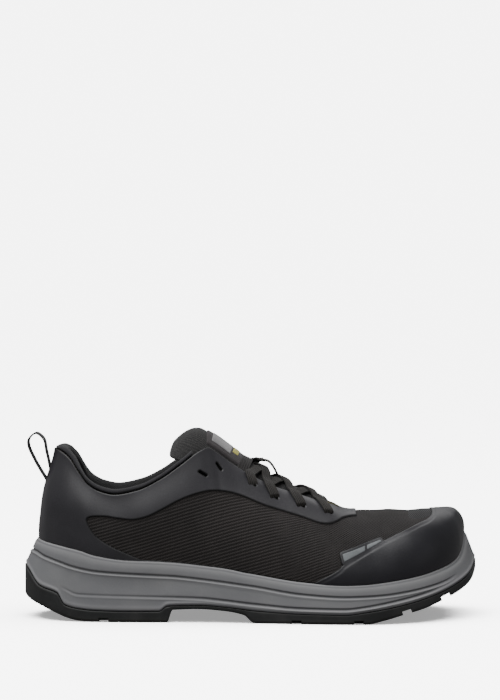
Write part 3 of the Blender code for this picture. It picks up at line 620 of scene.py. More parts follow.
# %% Outlines in side view
def outline_distance(x, z, corners):
    """Signed distance in side view to a closed outline in metres, positive inside it."""
    corners = np.asarray(corners, float)
    start, end = corners, np.roll(corners, -1, axis=0)
    run = end - start
    size = np.maximum((run**2).sum(1), 1e-18)
    distance = np.empty(len(x))
    inside = np.zeros(len(x), bool)
    for low in range(0, len(x), CHUNK):
        part = slice(low, low + CHUNK)
        px, pz = x[part, None], z[part, None]
        share = np.clip(((px - start[:, 0]) * run[:, 0] + (pz - start[:, 1]) * run[:, 1]) / size, 0, 1)
        dx, dz = px - start[:, 0] - share * run[:, 0], pz - start[:, 1] - share * run[:, 1]
        distance[part] = np.sqrt((dx**2 + dz**2).min(1))
        crosses = (start[:, 1] > pz) != (end[:, 1] > pz)
        rise = np.where(run[:, 1] == 0, 1e-18, run[:, 1])
        at = start[:, 0] + (pz - start[:, 1]) / rise * run[:, 0]
        inside[part] = (crosses & (px < at)).sum(1) % 2 == 1
    return np.where(inside, distance, -distance)


def in_metres(corners):
    """Corners of a side-view outline from shares to metres."""
    return (np.array(corners) - (0.5, 0)) * (LENGTH, COLLAR_HEIGHT)


# %% Flat bands and tubes
def swept(line, faces_to, section):
    """Rings of points: a flat section carried along a line that faces given directions."""
    line, faces_to = np.asarray(line, float), unit(np.asarray(faces_to, float))
    ahead = unit(np.gradient(line, axis=0))
    side = unit(np.cross(ahead, faces_to))
    face = unit(np.cross(side, ahead))
    section = np.asarray(section, float)
    return (line[:, None] + side[:, None] * section[None, :, :1]
            + face[:, None] * section[None, :, 1:])


def ribbed_section(width, thickness, ribs, depth, points_a_rib=6):
    """The cut end of a woven band: two flat faces with lengthwise ribs and rounded edges."""
    half, thin = width / 2, thickness / 2
    count = ribs * points_a_rib
    share = np.linspace(-1, 1, count + 1)
    relief = depth * (0.5 - 0.5 * np.cos(math.pi * (share + 1) * ribs))
    round_off = np.sqrt(np.clip(1 - np.clip((np.abs(share) - 0.82) / 0.18, 0, 1) ** 2, 0, 1))
    up = (thin - depth) * round_off + relief * round_off
    top = np.stack([share * half, up], axis=1)
    bottom = np.stack([share[::-1] * half, -up[::-1]], axis=1)
    return np.vstack([top[:-1], bottom[:-1]])


def close_ends(faces, columns, rows):
    """Adds the two flat ends to the faces of a closed tube."""
    faces = [list(face) for face in faces]
    faces.append(list(range(rows))[::-1])
    faces.append(list(range((columns - 1) * rows, columns * rows)))
    return faces


def make_band(name, line, faces_to, section, material, nodes=()):
    """A solid band along a line, with cloth coordinates along and round it."""
    rings = swept(line, faces_to, section)
    columns, rows = rings.shape[:2]
    faces = close_ends(grid_faces(columns, rows, wrap_rows=True), columns, rows)
    along = np.repeat(lengths(np.asarray(line, float)[:, None], 0), rows, axis=1)
    section = np.asarray(section, float)
    across = np.tile(section[:, 0], (columns, 1))
    cloth = np.stack([along.reshape(-1), across.reshape(-1)], axis=1)
    return make_piece(name, rings.reshape(-1, 3), faces, material, nodes, cloth)


print("mesh helpers ready")

# %% [markdown]
# ## Shader building blocks
#
# A material in Blender is a graph of nodes. An effect that several materials share, such as a
# woven rib, a fine grain or a film of dust, is made once as a node group with named inputs and
# outputs. The cloth coordinates are in metres, so a spacing of 0.0021 is a rib every 2.1 mm.
# Sums and products of sockets are short functions, which keeps a graph readable as text.

# %% Node helpers
def maths(tree, operation, *values):
    return node(tree, "ShaderNodeMath", dict(enumerate(values)), operation=operation).outputs[0]


def plus(tree, first, second):
    return maths(tree, "ADD", first, second)


def times(tree, first, second):
    return maths(tree, "MULTIPLY", first, second)


def wave(tree, kind, turns):
    """A sine or cosine that comes back with every whole turn."""
    return maths(tree, kind, times(tree, turns, 2 * math.pi))


def split(tree, vector):
    return node(tree, "ShaderNodeSeparateXYZ", {0: vector}).outputs


def between(tree, value, low, high, to_low=0.0, to_high=1.0):
    """A soft ramp of a value from one range to another."""
    ends = {"Value": value, "From Min": low, "From Max": high, "To Min": to_low, "To Max": to_high}
    return node(tree, "ShaderNodeMapRange", ends, interpolation_type="SMOOTHSTEP").outputs["Result"]


def blend(tree, share, first, second):
    """A colour between two others, each a link or three numbers."""
    made = node(tree, "ShaderNodeMix", data_type="RGBA")
    for place, value in ((0, share), (6, first), (7, second)):
        if isinstance(value, bpy.types.NodeSocket):
            tree.links.new(value, made.inputs[place])
        else:
            made.inputs[place].default_value = (*value, 1.0) if place else value
    return made.outputs[2]


def tint(tree, colour, mask, share, other):
    """A colour turned towards another where a mask is 1, by no more than a share."""
    return blend(tree, times(tree, mask, share), colour, other)


def noise(tree, vector, scale, detail=3.0, rough=0.55):
    ends = {"Vector": vector, "Scale": scale, "Detail": detail, "Roughness": rough}
    return node(tree, "ShaderNodeTexNoise", ends).outputs["Fac"]


def waver(tree, vector, scale, size):
    """Noise that runs to both sides of zero."""
    return times(tree, maths(tree, "SUBTRACT", noise(tree, vector, scale, 2.0), 0.5), size)


def new_group(name, inputs, outputs):
    """An empty node group with its sockets; returns its tree, its inputs and its outputs."""
    tree = bpy.data.node_groups.new(name, "ShaderNodeTree")
    for label, kind, value in inputs:
        socket = tree.interface.new_socket(label, in_out="INPUT", socket_type="NodeSocket" + kind)
        if value is not None:
            socket.default_value = value
    for label, kind in outputs:
        tree.interface.new_socket(label, in_out="OUTPUT", socket_type="NodeSocket" + kind)
    return tree, tree.nodes.new("NodeGroupInput").outputs, tree.nodes.new("NodeGroupOutput").inputs


def use(tree, group, **values):
    """A group placed in a material. An underscore in a name stands for a space."""
    made = tree.nodes.new("ShaderNodeGroup")
    made.node_tree = group
    for label, value in values.items():
        socket = made.inputs[label.replace("_", " ")]
        if isinstance(value, bpy.types.NodeSocket):
            tree.links.new(value, socket)
        else:
            socket.default_value = value
    return made.outputs


# %% Woven ribs
def make_ribs_group():
    """Parallel raised ribs at an angle, with the small stitches that run along each of them."""
    tree, given, out = new_group(
        "woven_ribs",
        (("Cloth", "Vector", None), ("Spacing", "Float", 0.0026), ("Angle", "Float", 0.28),
         ("Stitch", "Float", 0.0009), ("Waver", "Float", 0.25)),
        (("Height", "Float"), ("Groove", "Float")),
    )
    turned = node(tree, "ShaderNodeVectorRotate", {"Vector": given["Cloth"], "Angle": given["Angle"]},
                  rotation_type="Z_AXIS", invert=True).outputs[0]
    axes = split(tree, turned)
    row = plus(tree, maths(tree, "DIVIDE", axes[1], given["Spacing"]),
               waver(tree, given["Cloth"], 60.0, given["Waver"]))
    along = plus(tree, maths(tree, "DIVIDE", axes[0], given["Stitch"]),
                 times(tree, maths(tree, "FLOOR", row), 0.5))
    height = plus(tree, times(tree, wave(tree, "COSINE", row), 0.34),
                  times(tree, wave(tree, "COSINE", along), 0.16))
    tree.links.new(plus(tree, height, 0.5), out["Height"])
    tree.links.new(between(tree, height, -0.12, -0.42), out["Groove"])
    return tree


# %% Open weave
def make_weave_group():
    """Two sets of threads that cross, with small pits between them."""
    tree, given, out = new_group(
        "open_weave",
        (("Cloth", "Vector", None), ("Across", "Float", 0.0012), ("Along", "Float", 0.0012)),
        (("Height", "Float"), ("Pit", "Float")),
    )
    axes = split(tree, given["Cloth"])
    first = wave(tree, "SINE", maths(tree, "DIVIDE", axes[0], given["Across"]))
    second = wave(tree, "SINE", maths(tree, "DIVIDE", axes[1], given["Along"]))
    fuzz = waver(tree, given["Cloth"], 900.0, 0.5)
    height = plus(tree, times(tree, times(tree, first, second), 0.5), fuzz)
    tree.links.new(plus(tree, height, 0.5), out["Height"])
    tree.links.new(between(tree, height, -0.05, -0.45), out["Pit"])
    return tree


# %% Fine grain
def make_grain_group():
    """The small pebbles of a moulded or coated skin, and slow changes of tone across it."""
    tree, given, out = new_group(
        "fine_grain",
        (("Place", "Vector", None), ("Pebbles", "Float", 1400.0), ("Clouds", "Float", 40.0)),
        (("Height", "Float"), ("Tone", "Float")),
    )
    cells = node(tree, "ShaderNodeTexVoronoi", {"Vector": given["Place"], "Scale": given["Pebbles"]},
                 feature="SMOOTH_F1")
    soft = noise(tree, given["Place"], given["Pebbles"], 2.0)
    height = plus(tree, times(tree, cells.outputs["Distance"], 0.6), times(tree, soft, 0.4))
    tree.links.new(height, out["Height"])
    tree.links.new(noise(tree, given["Place"], given["Clouds"], 4.0), out["Tone"])
    return tree


# %% Dust and handling marks
def make_dust_group():
    """Fine pale dust in patches and specks, more of it low down and where an edge holds it."""
    tree, given, out = new_group(
        "dust",
        (("Place", "Vector", None), ("Color", "Color", (0.02, 0.02, 0.02, 1.0)),
         ("Dust Color", "Color", (0.12, 0.115, 0.11, 1.0)), ("Amount", "Float", 0.1),
         ("Held", "Float", 0.0)),
        (("Color", "Color"), ("Mask", "Float")),
    )
    clouds = between(tree, noise(tree, given["Place"], 55.0, 6.0, 0.65), 0.48, 0.75)
    specks = between(tree, noise(tree, given["Place"], 2200.0, 2.0), 0.62, 0.72)
    loose = plus(tree, times(tree, clouds, 0.7), times(tree, specks, 0.5))
    mask = times(tree, plus(tree, loose, given["Held"]), given["Amount"])
    mask = maths(tree, "MINIMUM", mask, 1.0)
    tree.links.new(blend(tree, mask, given["Color"], given["Dust Color"]), out["Color"])
    tree.links.new(mask, out["Mask"])
    return tree


RIBS_GROUP = make_ribs_group()
WEAVE_GROUP = make_weave_group()
GRAIN_GROUP = make_grain_group()
DUST_GROUP = make_dust_group()
print("groups:", [group.name for group in bpy.data.node_groups])

# %% [markdown]
# ## Finishes
#
# Each finish starts from Blender's Principled shader. The parts that change over the surface come
# from the groups above; the ones that are the same everywhere, such as sheen, are set on the
# shader itself. Small relief is left to a Bump node, since real threads are thinner than a face.

# %% Start and end of a material
def start_material(name, roughness, sheen=0.0, specular=0.5, coat=0.0):
    material = bpy.data.materials.new(name)
    material.use_nodes = True
    tree = material.node_tree
    shader = tree.nodes["Principled BSDF"]
    constants = {"Roughness": roughness, "Specular IOR Level": specular, "Sheen Weight": sheen,
                 "Sheen Roughness": 0.5, "Coat Weight": coat, "Coat Roughness": 0.38}
    for label, value in constants.items():
        shader.inputs[label].default_value = value
    place = node(tree, "ShaderNodeTexCoord").outputs["Object"]
    return material, tree, shader, place


def cloth_of(tree):
    """The flat coordinates along and across the cloth, in metres."""
    return node(tree, "ShaderNodeUVMap", uv_map="cloth").outputs[0]


def mask_of(tree, label):
    return node(tree, "ShaderNodeAttribute", attribute_name=label).outputs["Fac"]


def tone_of(tree, place, scale, low=0.3):
    """Slow clouds between 0 and 1, for two close tones of one colour."""
    return between(tree, noise(tree, place, scale, 4.0), low, 1 - low)


def set_colour(tree, shader, place, colour, amount, **dust):
    """The base colour under a film of dust. Returns the dust's mask."""
    dusty = use(tree, DUST_GROUP, Place=place, Color=colour, Amount=amount, **dust)
    tree.links.new(dusty["Color"], shader.inputs["Base Color"])
    return dusty["Mask"]


def set_relief(tree, shader, height, depth):
    """Bump from a height between 0 and 1 that stands for a depth in metres."""
    bump = node(tree, "ShaderNodeBump", {"Height": height, "Distance": depth, "Strength": 1.0})
    tree.links.new(bump.outputs[0], shader.inputs["Normal"])


def darker(colour, share):
    return tuple(value * share for value in colour)


# %% Ribbed mesh of the upper
def make_knit():
    """Dark mesh whose ribs rise to the toe and get finer over the toes, with painted shade there."""
    material, tree, shader, place = start_material("ribbed_mesh", 0.85, sheen=0.05, specular=0.35)
    cloth = cloth_of(tree)
    coarse = use(tree, RIBS_GROUP, Cloth=cloth, Spacing=0.0021, Angle=0.29, Stitch=0.0012)
    twill = use(tree, RIBS_GROUP, Cloth=cloth, Spacing=0.0018, Angle=0.36, Stitch=0.0013, Waver=0.5)
    fine = use(tree, WEAVE_GROUP, Cloth=cloth, Across=0.0022, Along=0.0019)
    front = mask_of(tree, "front")
    toes = between(tree, front, 0.70, 1.0)
    patchy = plus(tree, front, times(tree, noise(tree, place, 35.0), 0.3))
    front = between(tree, patchy, 0.35, 0.75)

    def over_the_shoe(first, second, third):
        mixed = node(tree, "ShaderNodeMix", {0: front, 2: first, 3: second}).outputs[0]
        return node(tree, "ShaderNodeMix", {0: toes, 2: mixed, 3: third}).outputs[0]

    groove = over_the_shoe(coarse["Groove"], twill["Groove"], fine["Pit"])
    height = over_the_shoe(coarse["Height"], twill["Height"], fine["Height"])
    pits = use(tree, WEAVE_GROUP, Cloth=cloth, Across=0.0022, Along=0.0017)["Pit"]
    yarn = blend(tree, tone_of(tree, place, 30.0), (0.036, 0.032, 0.031), (0.048, 0.042, 0.0405))
    # Painted shade: the yarn is darker over the toes, which face up to the strong top light.
    yarn = tint(tree, yarn, toes, 0.45, (0.012, 0.011, 0.011))
    # Painted shade: the yarn is darker in the pits of the weave and the grooves between ribs.
    yarn = tint(tree, yarn, pits, 0.75, (0.006, 0.0055, 0.0055))
    yarn = tint(tree, yarn, groove, 0.75, (0.007, 0.006, 0.006))
    set_colour(tree, shader, place, yarn, 0.10)
    set_relief(tree, shader, height, 0.0005)
    return material


# %% Smooth film and toe cap skin
def make_skin(name, dark, light, roughness, coat):
    """A welded plastic skin: fine grain, a little dust, painted shade in hollows and along the edge."""
    material, tree, shader, place = start_material(name, roughness, coat=coat)
    grain = use(tree, GRAIN_GROUP, Place=place, Pebbles=1500.0, Clouds=22.0)
    tone = between(tree, grain["Tone"], 0.35, 0.65)
    skin = blend(tree, tone, dark, light)
    # Painted shade: the skin is darker in the low parts of its grain.
    skin = tint(tree, skin, between(tree, grain["Height"], 0.5, 0.3), 0.35, darker(dark, 0.6))
    # Painted shade: a dark line along the film's edge, where it steps down to the mesh.
    welded = between(tree, mask_of(tree, "rim"), 0.0011, 0.0003)
    skin = tint(tree, skin, welded, 0.9, (0.006, 0.006, 0.007))
    dust = set_colour(tree, shader, place, skin, 0.05)
    rough = plus(tree, plus(tree, times(tree, tone, 0.08), roughness - 0.05), times(tree, dust, 0.4))
    tree.links.new(rough, shader.inputs["Roughness"])
    set_relief(tree, shader, grain["Height"], 0.00006)
    return material


# %% Reflective tape
def make_tape():
    """Grey tape whose small glass beads sparkle a little, as painted glints at their middles."""
    material, tree, shader, place = start_material("bead_tape", 0.42, specular=0.7)
    beads = node(tree, "ShaderNodeTexVoronoi", {"Vector": place, "Scale": 2600.0})
    shine = between(tree, beads.outputs["Distance"], 0.5, 0.1)
    edge = between(tree, mask_of(tree, "rim"), 0.0008, 0.0002)
    tone = between(tree, noise(tree, place, 120.0), 0.3, 0.7)
    grey = blend(tree, tone, (0.13, 0.145, 0.155), (0.18, 0.195, 0.205))
    # Painted glint: the grey is paler at the middle of each bead.
    grey = tint(tree, grey, shine, 0.35, (0.32, 0.34, 0.35))
    grey = tint(tree, grey, edge, 0.8, (0.03, 0.03, 0.033))
    tree.links.new(grey, shader.inputs["Base Color"])
    set_relief(tree, shader, shine, 0.00005)
    return material


# %% Woven cloths: lining, tongue, webbing, laces
def make_cloth(name, dark, light, across, along, depth, sheen=0.15, specks=0.0, rib=0.0):
    """A plain woven or knitted cloth in two close tones, painted shade in the pits between threads.

    A band of webbing or lace also has ribs along it: rib is the room for one of them.
    """
    material, tree, shader, place = start_material(name, 0.88, sheen=sheen, specular=0.3)
    cloth = cloth_of(tree)
    weave = use(tree, WEAVE_GROUP, Cloth=cloth, Across=across, Along=along)
    yarn = blend(tree, tone_of(tree, place, 70.0), dark, light)
    # Painted shade in the pits between threads.
    yarn = tint(tree, yarn, weave["Pit"], 0.75, darker(dark, 0.25))
    if rib:
        ribs = wave(tree, "COSINE", times(tree, split(tree, cloth)[1], 1 / rib))
        # Painted shade between the ribs.
        yarn = tint(tree, yarn, between(tree, ribs, -0.1, -0.9), 0.75, darker(dark, 0.25))
    if specks:
        flecks = between(tree, noise(tree, cloth, 1500.0, 1.0), 0.60, 0.68)
        yarn = tint(tree, yarn, flecks, specks, (0.16, 0.155, 0.15))
    set_colour(tree, shader, place, yarn, 0.08)
    set_relief(tree, shader, weave["Height"], depth)
    return material


# %% Foam and rubber of the sole
def make_foam():
    """Grey moulded foam with pale dust, painted shade in grooves and painted highlights on ridges."""
    material, tree, shader, place = start_material("grey_foam", 0.62, specular=0.4)
    grain = use(tree, GRAIN_GROUP, Place=place, Pebbles=900.0, Clouds=28.0)
    tone = between(tree, grain["Tone"], 0.3, 0.7)
    foam = blend(tree, tone, (0.198, 0.200, 0.210), (0.230, 0.232, 0.240))
    # Painted shade in the grooves and at the foot of the wall, where it meets the rubber.
    foam = tint(tree, foam, mask_of(tree, "crease"), 0.55, (0.055, 0.055, 0.058))
    # Painted highlight on the ridges, the upper band and the rounded rim, which face up.
    foam = tint(tree, foam, mask_of(tree, "ridge"), 0.75, (0.46, 0.46, 0.465))
    set_colour(tree, shader, place, foam, 0.14, Dust_Color=(0.30, 0.29, 0.27, 1.0))
    set_relief(tree, shader, grain["Height"], 0.00005)
    return material


def make_rubber():
    """Black tread rubber: a matt moulded grain, scuffed grey along its lower edges."""
    material, tree, shader, place = start_material("tread_rubber", 0.6, specular=0.45)
    grain = use(tree, GRAIN_GROUP, Place=place, Pebbles=1100.0, Clouds=50.0)
    tone = between(tree, grain["Tone"], 0.35, 0.65)
    black = blend(tree, tone, (0.020, 0.021, 0.021), (0.029, 0.030, 0.030))
    low = between(tree, split(tree, place)[2], 0.004, 0.0)
    set_colour(tree, shader, place, black, 0.22, Held=low)
    tree.links.new(plus(tree, times(tree, tone, 0.15), 0.5), shader.inputs["Roughness"])
    set_relief(tree, shader, grain["Height"], 0.00008)
    return material


# %% The finishes with a form of their own
KNIT = make_knit()
FILM_SKIN = make_skin("overlay_film", (0.023, 0.0220, 0.0265), (0.032, 0.0305, 0.0365), 0.46, 0.30)
CAP_SKIN = make_skin("toe_skin", (0.0085, 0.0080, 0.0120), (0.0135, 0.0130, 0.0180), 0.40, 0.15)
TAPE = make_tape()
FOAM = make_foam()
RUBBER = make_rubber()

# %% The cloths: dark and light yarn, room for a thread each way, relief, and what only some have
CLOTHS = {
    "lining_knit": ((0.018, 0.018, 0.019), (0.028, 0.028, 0.03), 0.0013, 0.0013, 0.0003, {}),
    "collar_binding": ((0.024, 0.0235, 0.027), (0.034, 0.033, 0.037), 0.0007, 0.0007, 0.0001, {}),
    "tongue_mesh": ((0.024, 0.0235, 0.0235), (0.036, 0.035, 0.035), 0.0013, 0.0012, 0.0003,
                    {"specks": 0.35}),
    "label_cloth": ((0.058, 0.052, 0.054), (0.075, 0.068, 0.07), 0.0006, 0.0005, 0.0001, {}),
    "label_face": ((0.30, 0.295, 0.30), (0.42, 0.41, 0.415), 0.0006, 0.0005, 0.0001, {}),
    "label_square": ((0.50, 0.46, 0.10), (0.60, 0.55, 0.16), 0.0006, 0.0005, 0.0001, {}),
    "keeper_webbing": ((0.026, 0.024, 0.024), (0.038, 0.035, 0.034), 0.0011, 0.0013, 0.00025,
                       {"rib": 0.0016}),
    "lace_yarn": ((0.030, 0.027, 0.025), (0.046, 0.042, 0.038), 0.0009, 0.0009, 0.0002,
                  {"sheen": 0.12, "rib": 0.0014}),
    "loop_webbing": ((0.024, 0.024, 0.026), (0.034, 0.034, 0.036), 0.0012, 0.0011, 0.0003,
                     {"specks": 0.5}),
    "trim_yarn": ((0.20, 0.19, 0.12), (0.28, 0.27, 0.18), 0.0007, 0.0007, 0.0001, {}),
    "insole_cloth": ((0.028, 0.028, 0.032), (0.04, 0.04, 0.045), 0.0016, 0.0016, 0.0003, {}),
}
CLOTH_OF = {name: make_cloth(name, *values, **extra) for name, (*values, extra) in CLOTHS.items()}
print("finishes:", len(bpy.data.materials))

# %% [markdown]
# ## The free loop of the lace
#
# A flat lace lies over the tongue from hole to hole. One short loop of it stands free above the
# crossings, held by its own stiffness. It is a cord of a known length, so its line is settled
# before anything round it: it leaves the top hole of the inner side, runs over the crossings and
# goes back under them.

# %% Places on the tongue and the lace's sizes
CROWN_EDGES = (0.46, 0.66)
TONGUE_SINK = 0.0052
LACE_WIDTH = 0.0070
LACE_THICK = 0.0014
LACE_RIBS = 6
LACE_RIB_DEPTH = 0.00025
EYELETS = ((0.520, 0.875), (0.565, 0.815), (0.617, 0.800), (0.667, 0.790))
SPARE_EYELETS = ((0.403, 0.79), (0.443, 0.855))
THROAT_RUN = rib_point(CROWN_EDGES[0], 1.0) - rib_point(CROWN_EDGES[1], 1.0)
THROAT_UP = unit(np.cross((0.0, 1.0, 0.0), THROAT_RUN))


def turn_of(side, around):
    return around if side == OUTER else 2.0 - around


def over_tongue(place, share, lift=0.0, sink=TONGUE_SINK):
    """Points above the tongue: share runs from -1 at the outer edge of the throat to 1."""
    place, share = np.broadcast_arrays(np.asarray(place, float), np.asarray(share, float))
    outer, inner = rib_point(place, 1.0), rib_point(2.0 - place, 1.0)
    rise = read(CROWNS, "rise", place) * COLLAR_HEIGHT * (1 - share**2)
    height = rise - sink * share**2 + lift
    weight = (share[..., None] + 1) / 2
    return outer * (1 - weight) + inner * weight + THROAT_UP * height[..., None]


def band_normals(line, side):
    """Directions square to a line and to the width of a band that lies along it, pointing up."""
    normals = unit(np.cross(np.gradient(np.asarray(line, float), axis=0), side))
    return np.where(normals[:, 2:] < 0, -normals, normals)


LACE_SECTION = ribbed_section(LACE_WIDTH, LACE_THICK, LACE_RIBS, LACE_RIB_DEPTH)

# %% The loop
BOW_LIFTS = ((0.536, 0.0056), (0.541, 0.0066), (0.549, 0.0072), (0.558, 0.0065), (0.567, 0.0050),
             (0.575, 0.0032), (0.581, 0.0018))
BOW_RUN = ((0.5235, 0.70), (0.5255, 0.45), (0.5285, 0.22))
BOW_RUN_LIFT = 0.0052
BOW_START = ((0.855, 0.0020), (0.905, 0.0042), (0.97, 0.0048))


def make_bow():
    """The loop with the run of lace that leads to it from the inner side's top hole."""
    turn = 2.0 - EYELETS[0][0]
    run = [on_upper(turn, step, lift) for step, lift in BOW_START]
    run += [over_tongue(place, share, BOW_RUN_LIFT, sink=0.0) for place, share in BOW_RUN]
    loop = [over_tongue(place, 0.0, lift) for place, lift in BOW_LIFTS]
    line = smooth_line([*run, *loop], 7)
    share = smooth_step(np.linspace(0, 1, len(line)), 0.15, 0.45)[:, None]
    side = unit((1 - share) * unit(-THROAT_RUN) + share * np.array((0.0, 1.0, 0.0)))
    normals = np.cross(np.gradient(line, axis=0), side)
    normals = unit(np.where((normals @ THROAT_UP)[:, None] < 0, -normals, normals))
    bow = make_band("lace_loop", line, normals, LACE_SECTION, CLOTH_OF["lace_yarn"],
                    ["lace_bow"])


make_bow()

# %% [markdown]
# ## The last's soft forms
#
# A shoe's side is never one even curve. The quarter swells below its padded collar, the eyelet
# stay stands up a little, and the vamp runs down to a low crest over the toes. These forms are
# given in the shoe's own sizes, as troughs and ridges that move the skin along its own
# normals, so every layer that lies on it follows.

# %% Soft forms
SKIN_COLUMNS = 860
SKIN_ROWS = 150
SPINE_ROUND = 0.007
SOFTEN = 14


def soft_forms(points, around, step):
    """How far the skin stands out or sinks at each point, in metres."""
    run = lengths(points, 1)
    away = run[:, -1:] - run
    slope = (read(RIBS, "drop", around) * COLLAR_HEIGHT) / (read(RIBS, "spread", around) * BALL_WIDTH)
    spine = slope * (away - np.hypot(away, SPINE_ROUND)) * smooth_step(around, 0.69, 0.72)
    x, z = points[..., 0], points[..., 2]
    collar = 1 - smooth_step(around, 0.34, 0.42)
    pad = 0.0013 * hump(step, 0.60, 0.38) * collar
    stay = 0.0004 * hump(step, 0.86, 0.16) * smooth_step(around, 0.38, 0.43)
    stay = stay * (1 - smooth_step(around, 0.68, 0.74))
    ankle = -0.0008 * hump(x, -0.088, 0.022) * hump(z, 0.070, 0.016)
    flex = -0.0006 * hump(x - 0.45 * z, 0.052, 0.010) * smooth_step(z, 0.045, 0.062)
    flex = flex - 0.0003 * hump(x - 0.35 * z, 0.036, 0.008) * smooth_step(z, 0.050, 0.066)
    crest = -0.0032 * smooth_step(x, 0.085, 0.112) * smooth_step(step, 0.42, 0.80)
    heel = 0.0005 * hump(around, 0.075, 0.03) * hump(step, 0.45, 0.4)
    return spine + pad + stay + ankle + flex + crest + heel


# %% Directions square to the skin
NORMAL_CELL = 0.0003
WIDE_CELL = 0.0020
STRAY = 0.95


def cell_directions(flat, faces, cell):
    """Directions square to a mesh, shared by all its points in one cell of space."""
    _, index = np.unique(np.round(flat / cell), axis=0, return_inverse=True)
    index = index.reshape(-1)
    a, b, c, d = (flat[faces[:, k]] for k in range(4))
    square = np.cross(c - a, d - b)
    total = np.zeros((index.max() + 1, 3))
    for k in range(4):
        np.add.at(total, index[faces[:, k]], square)
    return unit(total)[index]


def skin_directions(points):
    """Directions square to the skin; where its rows bunch up, those of a wider cell hold."""
    flat = points.reshape(-1, 3)
    faces = grid_faces(*points.shape[:2], wrap_columns=True)
    fine = cell_directions(flat, faces, NORMAL_CELL)
    wide = cell_directions(flat, faces, WIDE_CELL)
    stray = np.sum(fine * wide, axis=1) < STRAY
    fine[stray] = wide[stray]
    return fine.reshape(points.shape)


# %% The dense skin
SPINE_START = 0.715
TURNS = np.linspace(0.0, 2.0, SKIN_COLUMNS, endpoint=False)
STEPS = np.linspace(0.0, 1.0, SKIN_ROWS)
turn_grid, step_grid = np.meshgrid(TURNS, STEPS, indexing="ij")
around_grid = around_of(turn_grid)[1]
last_points = rib_point(turn_grid, step_grid)
last_normals = skin_directions(last_points)
SKIN = last_points + last_normals * soft_forms(last_points, around_grid, step_grid)[..., None]
softened = hump(around_grid, 0.74, 0.09) * smooth_step(step_grid, 0.02, 0.2)
softened = (softened * (1 - smooth_step(step_grid, 0.86, 0.98)))[..., None]
even = sum(np.roll(SKIN, shift, axis=0) for shift in range(-SOFTEN, SOFTEN + 1, 2)) / (SOFTEN + 1)
SKIN = SKIN * (1 - softened) + even * softened
SKIN_NORMALS = skin_directions(SKIN)
up_length = lengths(SKIN, 1)
cloth_height = SKIN[:, :1, 2] + up_length
other_side = -np.arange(SKIN_COLUMNS) % SKIN_COLUMNS
uneven = cloth_height[other_side, -1:] - cloth_height[:, -1:]
cloth_height = cloth_height + uneven / 2 * step_grid ** 2 * smooth_step(around_grid, 0.69, 0.72)
CLOTH = np.stack([SKIN[..., 0], cloth_height], axis=-1)
print("skin points", SKIN.shape, "lowest", SKIN[..., 2].min(), "highest", SKIN[..., 2].max())

# %% [markdown]
# ## The ribbed mesh
#
# The upper is one piece of ribbed mesh from the sole's rim to the collar and the throat. It is
# made as the outer face of the last, turned over its top edge and carried down inside as the
# lining. The ribs are too fine for faces, so they are relief in the material.

# %% Slits for the lace
SLIT_LENGTH = 0.0060
SLIT_WIDTH = 0.0012
SLIT_SLANT = 0.008
SLIT_IN_MESH = 0.0006
SLIT_IN_FILM = 0.0002


def slit_frames():
    """The middle and the two flat directions of every lace hole."""
    frames = []
    for side in (OUTER, INNER):
        for place, step in (*SPARE_EYELETS, *EYELETS):
            turn = turn_of(side, place)
            centre, normal = rib_point(turn, step), rib_normal(turn, step)
            above = rib_point(turn_of(side, place - SLIT_SLANT), step + 0.04)
            below = rib_point(turn_of(side, place + SLIT_SLANT), step - 0.04)
            rise = unit(above - below)
            frames.append((centre, rise, np.cross(normal, rise)))
    return frames


SLITS = slit_frames()


def slit_distance(points, grow=0.0):
    """Distance from the nearest slit's rim, negative inside the slit."""
    nearest = np.full(len(points), 1.0)
    for centre, rise, back in SLITS:
        away = points - centre
        along = np.maximum(np.abs(away @ rise) - (SLIT_LENGTH - SLIT_WIDTH) / 2, 0.0)
        distance = np.hypot(along, away @ back) - SLIT_WIDTH / 2 - grow
        close = np.linalg.norm(away, axis=1) < 2 * SLIT_LENGTH
        nearest = np.where(close, np.minimum(nearest, distance), nearest)
    return nearest


# %% The upper
def front_mask(points):
    """0 on the quarters, rising to 1 over the toes, where the knit gets finer."""
    return smooth_step(points[:, 0] + 0.3 * points[:, 2], 0.005, 0.085)


def thinned(grid):
    """Every second column and row of the skin, and its last row."""
    rows = np.append(np.arange(0, SKIN_ROWS - 2, 2), SKIN_ROWS - 1)
    return grid[::2][:, rows]


def make_upper():
    outside, normals, cloth = thinned(SKIN), thinned(SKIN_NORMALS), thinned(CLOTH)
    inside = outside[:, ::-1] - normals[:, ::-1] * WALL
    turned = np.concatenate([outside, inside], axis=1)
    columns, rows = turned.shape[:2]
    cloth = np.concatenate([cloth, cloth[:, ::-1]], axis=1)
    points = turned.reshape(-1, 3)
    values = np.hstack([points, cloth.reshape(-1, 2), slit_distance(points, SLIT_IN_MESH)[:, None]])
    faces = grid_faces(columns, rows, wrap_columns=True).reshape(columns, rows - 1, 4)
    fold = outside.shape[1] - 1
    kept = np.ones((columns, rows - 1), bool)
    kept[:, fold] = around_grid[::2, 0] < SPINE_START
    faces = faces[kept].tolist()
    values, faces = tidy(*cut_faces(values, faces, 0.0))
    points = values[:, :3]
    make_piece("ribbed_upper", points, faces, KNIT, ["upper"], values[:, 3:5],
               {"front": front_mask(points)})


make_upper()

# %% [markdown]
# ## Overlays
#
# The smooth parts are thin films that are welded over the mesh: one round the heel, the collar
# and the lace holes, one over the toes, and a reflective patch on each side. Each is cut from the
# same dense skin along its outline in side view. A second cut just inside the edge lets the film
# rise softly from the mesh to its full thickness, as a welded edge does.

# %% Outlines of the panels
PANEL_STEPS = 10
CAP_SHIFT = (-0.0036, -0.0018)


def panel_outline(curve, corners):
    """A closed outline in metres: a smooth line through a curve, then straight corners."""
    return np.vstack([smooth_line(in_metres(curve), PANEL_STEPS), in_metres(corners)])


